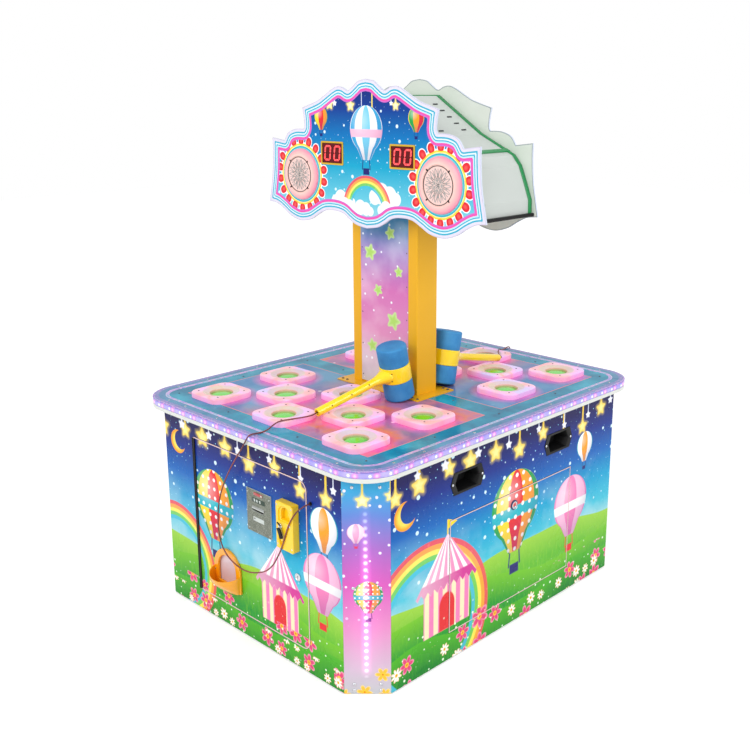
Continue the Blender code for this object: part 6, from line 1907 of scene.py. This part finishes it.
def foam_finish():
    """Dyed closed-cell foam: fine pores and slow patches of shade."""
    material, recipe = start_finish("blue_foam", 0.62, Specular_IOR_Level=0.35)
    pores = recipe.noise(1300.0, 2.0, 0.6)
    patches = recipe.noise(22.0, 3.0)
    colour = recipe.ramp(patches * 0.6 + pores * 0.4,
                         [(0.30, srgb(38, 112, 170)), (0.50, srgb(52, 134, 192)),
                          (0.72, srgb(74, 152, 204))])
    recipe.coat(Base_Color=colour, Roughness=patches * 0.16 + 0.52)
    recipe.bump(pores, 0.0003)
    return material


def rounded_end(radius, level, edge, steps=6):
    """Profile of a cylinder's upper rim, rounded with a quarter circle."""
    turn = np.linspace(0, np.pi / 2, steps)
    return [(radius - edge + edge * math.cos(t), level - edge + edge * math.sin(t)) for t in turn]


foam_top = [(0.0400, 0.0), (0.0400, 0.0270), (0.0480, 0.0272), (0.0505, 0.0285), (0.0512, 0.0310),
            (0.0520, 0.0480)]
foam_half = foam_top + rounded_end(0.0520, 0.095, 0.0065) + [(0.0200, 0.0952)]
foam_profile = [(radius, -level) for radius, level in foam_half[:0:-1]] + foam_half
collar_half = [(0.0410, 0.0262)] + list(rounded_end(0.0530, 0.028, 0.0022)[::-1])
collar_profile = [(radius, -level) for radius, level in collar_half] + [(0.0534, 0.0)]
collar_profile += collar_half[::-1] + [(0.0395, 0.0), (0.0410, -0.0262)]
collar = revolved(collar_profile[:-1], 72, closed=True)
sections = np.array([(0.0400, 0.0345, 0.0245), (0.0480, 0.0330, 0.0258), (0.0540, 0.0295, 0.0250),
                     (0.0620, 0.0248, 0.0226), (0.0720, 0.0205, 0.0196), (0.0830, 0.0172, 0.0168),
                     (0.0950, 0.0149, 0.0148), (0.1080, 0.0139, 0.0139), (0.1500, 0.0136, 0.0136),
                     (0.2600, 0.0137, 0.0137), (0.3420, 0.0139, 0.0139), (0.3444, 0.0134, 0.0134),
                     (0.3450, 0.0124, 0.0124), (0.3450, 0.0092, 0.0092), (0.3443, 0.0085, 0.0085),
                     (0.3350, 0.0085, 0.0085)])
angles = full_turn(40)
along, half_width, half_height = sections.T[..., None]
handle = np.stack(np.broadcast_arrays(half_width * np.cos(angles), -along, half_height * np.sin(angles)),
                  axis=-1)
bore = np.stack(np.broadcast_arrays(0.0084 * np.cos(angles), -0.3354, 0.0084 * np.sin(angles)), axis=-1)
# The bored end is closed by a black disc of painted shade.
plug = np.stack([bore, bore + (0, 0.002, 0)])
brown_screw = dome_screw(0.0028, 0.0011, 12)


def screw_on(centre, outward):
    """A small screw whose axis points outward from the hammer."""
    out = np.array(outward, float) / np.linalg.norm(outward)
    side = np.cross((0, 0, 1), out)
    side /= np.linalg.norm(side)
    return np.array(centre) + brown_screw[0] @ np.array((side, np.cross(out, side), out)), brown_screw[1]


hammer_yellow = plain_finish("hammer_yellow", srgb(255, 218, 12), 0.20, 0.0, 200.0, 0.00004, 0.06,
                             Coat_Weight=0.4)
screw_brown = plain_finish("brown_screw", srgb(120, 74, 30), 0.40, 0.6, 500.0, 0.00002, 0.15)
blue_foam = foam_finish()
foam = revolved(foam_profile, 72)
screws = []
for turn, level in ((-0.92, 0.0135), (-0.98, -0.0135)):
    outward = (math.cos(turn), math.sin(turn), 0)
    screws.append(screw_on(np.array(outward) * 0.0527 + (0, 0, level), outward))
for along, share in ((0.128, 0.55), (0.205, 0.40), (0.290, 0.30)):
    outward = (math.cos(share), 0, math.sin(share))
    screws.append(screw_on(np.array(outward) * 0.0133 + (0, -along, 0), outward))
for end, (spot, tip, swing) in hammer_places.items():
    tip, swing = math.radians(tip), math.radians(swing)
    tilt = np.array(((1, 0, 0), (0, math.cos(tip), -math.sin(tip)), (0, math.sin(tip), math.cos(tip))))
    spin = np.array(((math.cos(swing), -math.sin(swing), 0), (math.sin(swing), math.cos(swing), 0),
                     (0, 0, 1)))
    turned = (spin @ tilt).T
    shells = [(collar, 0), (sheet_of(handle, True, (0, -1)), 0),
              (sheet_of(plug, True, (0, -1), flip=True), 1)]
    shells += [(screw, 2) for screw in screws]
    placed = [(shell[0] @ turned + spot, shell[1], number) for shell, number in shells]
    piece("hammer_body_" + end, placed, [hammer_yellow, shadow_black, screw_brown], "hammer_" + end,
          ("hammer_" + end,), 40.0)
    piece("foam_head_" + end, [(foam[0] @ turned + spot, foam[1], 0)], [blue_foam],
          "hammer_" + end, ("hammer_foam_" + end,), 40.0)
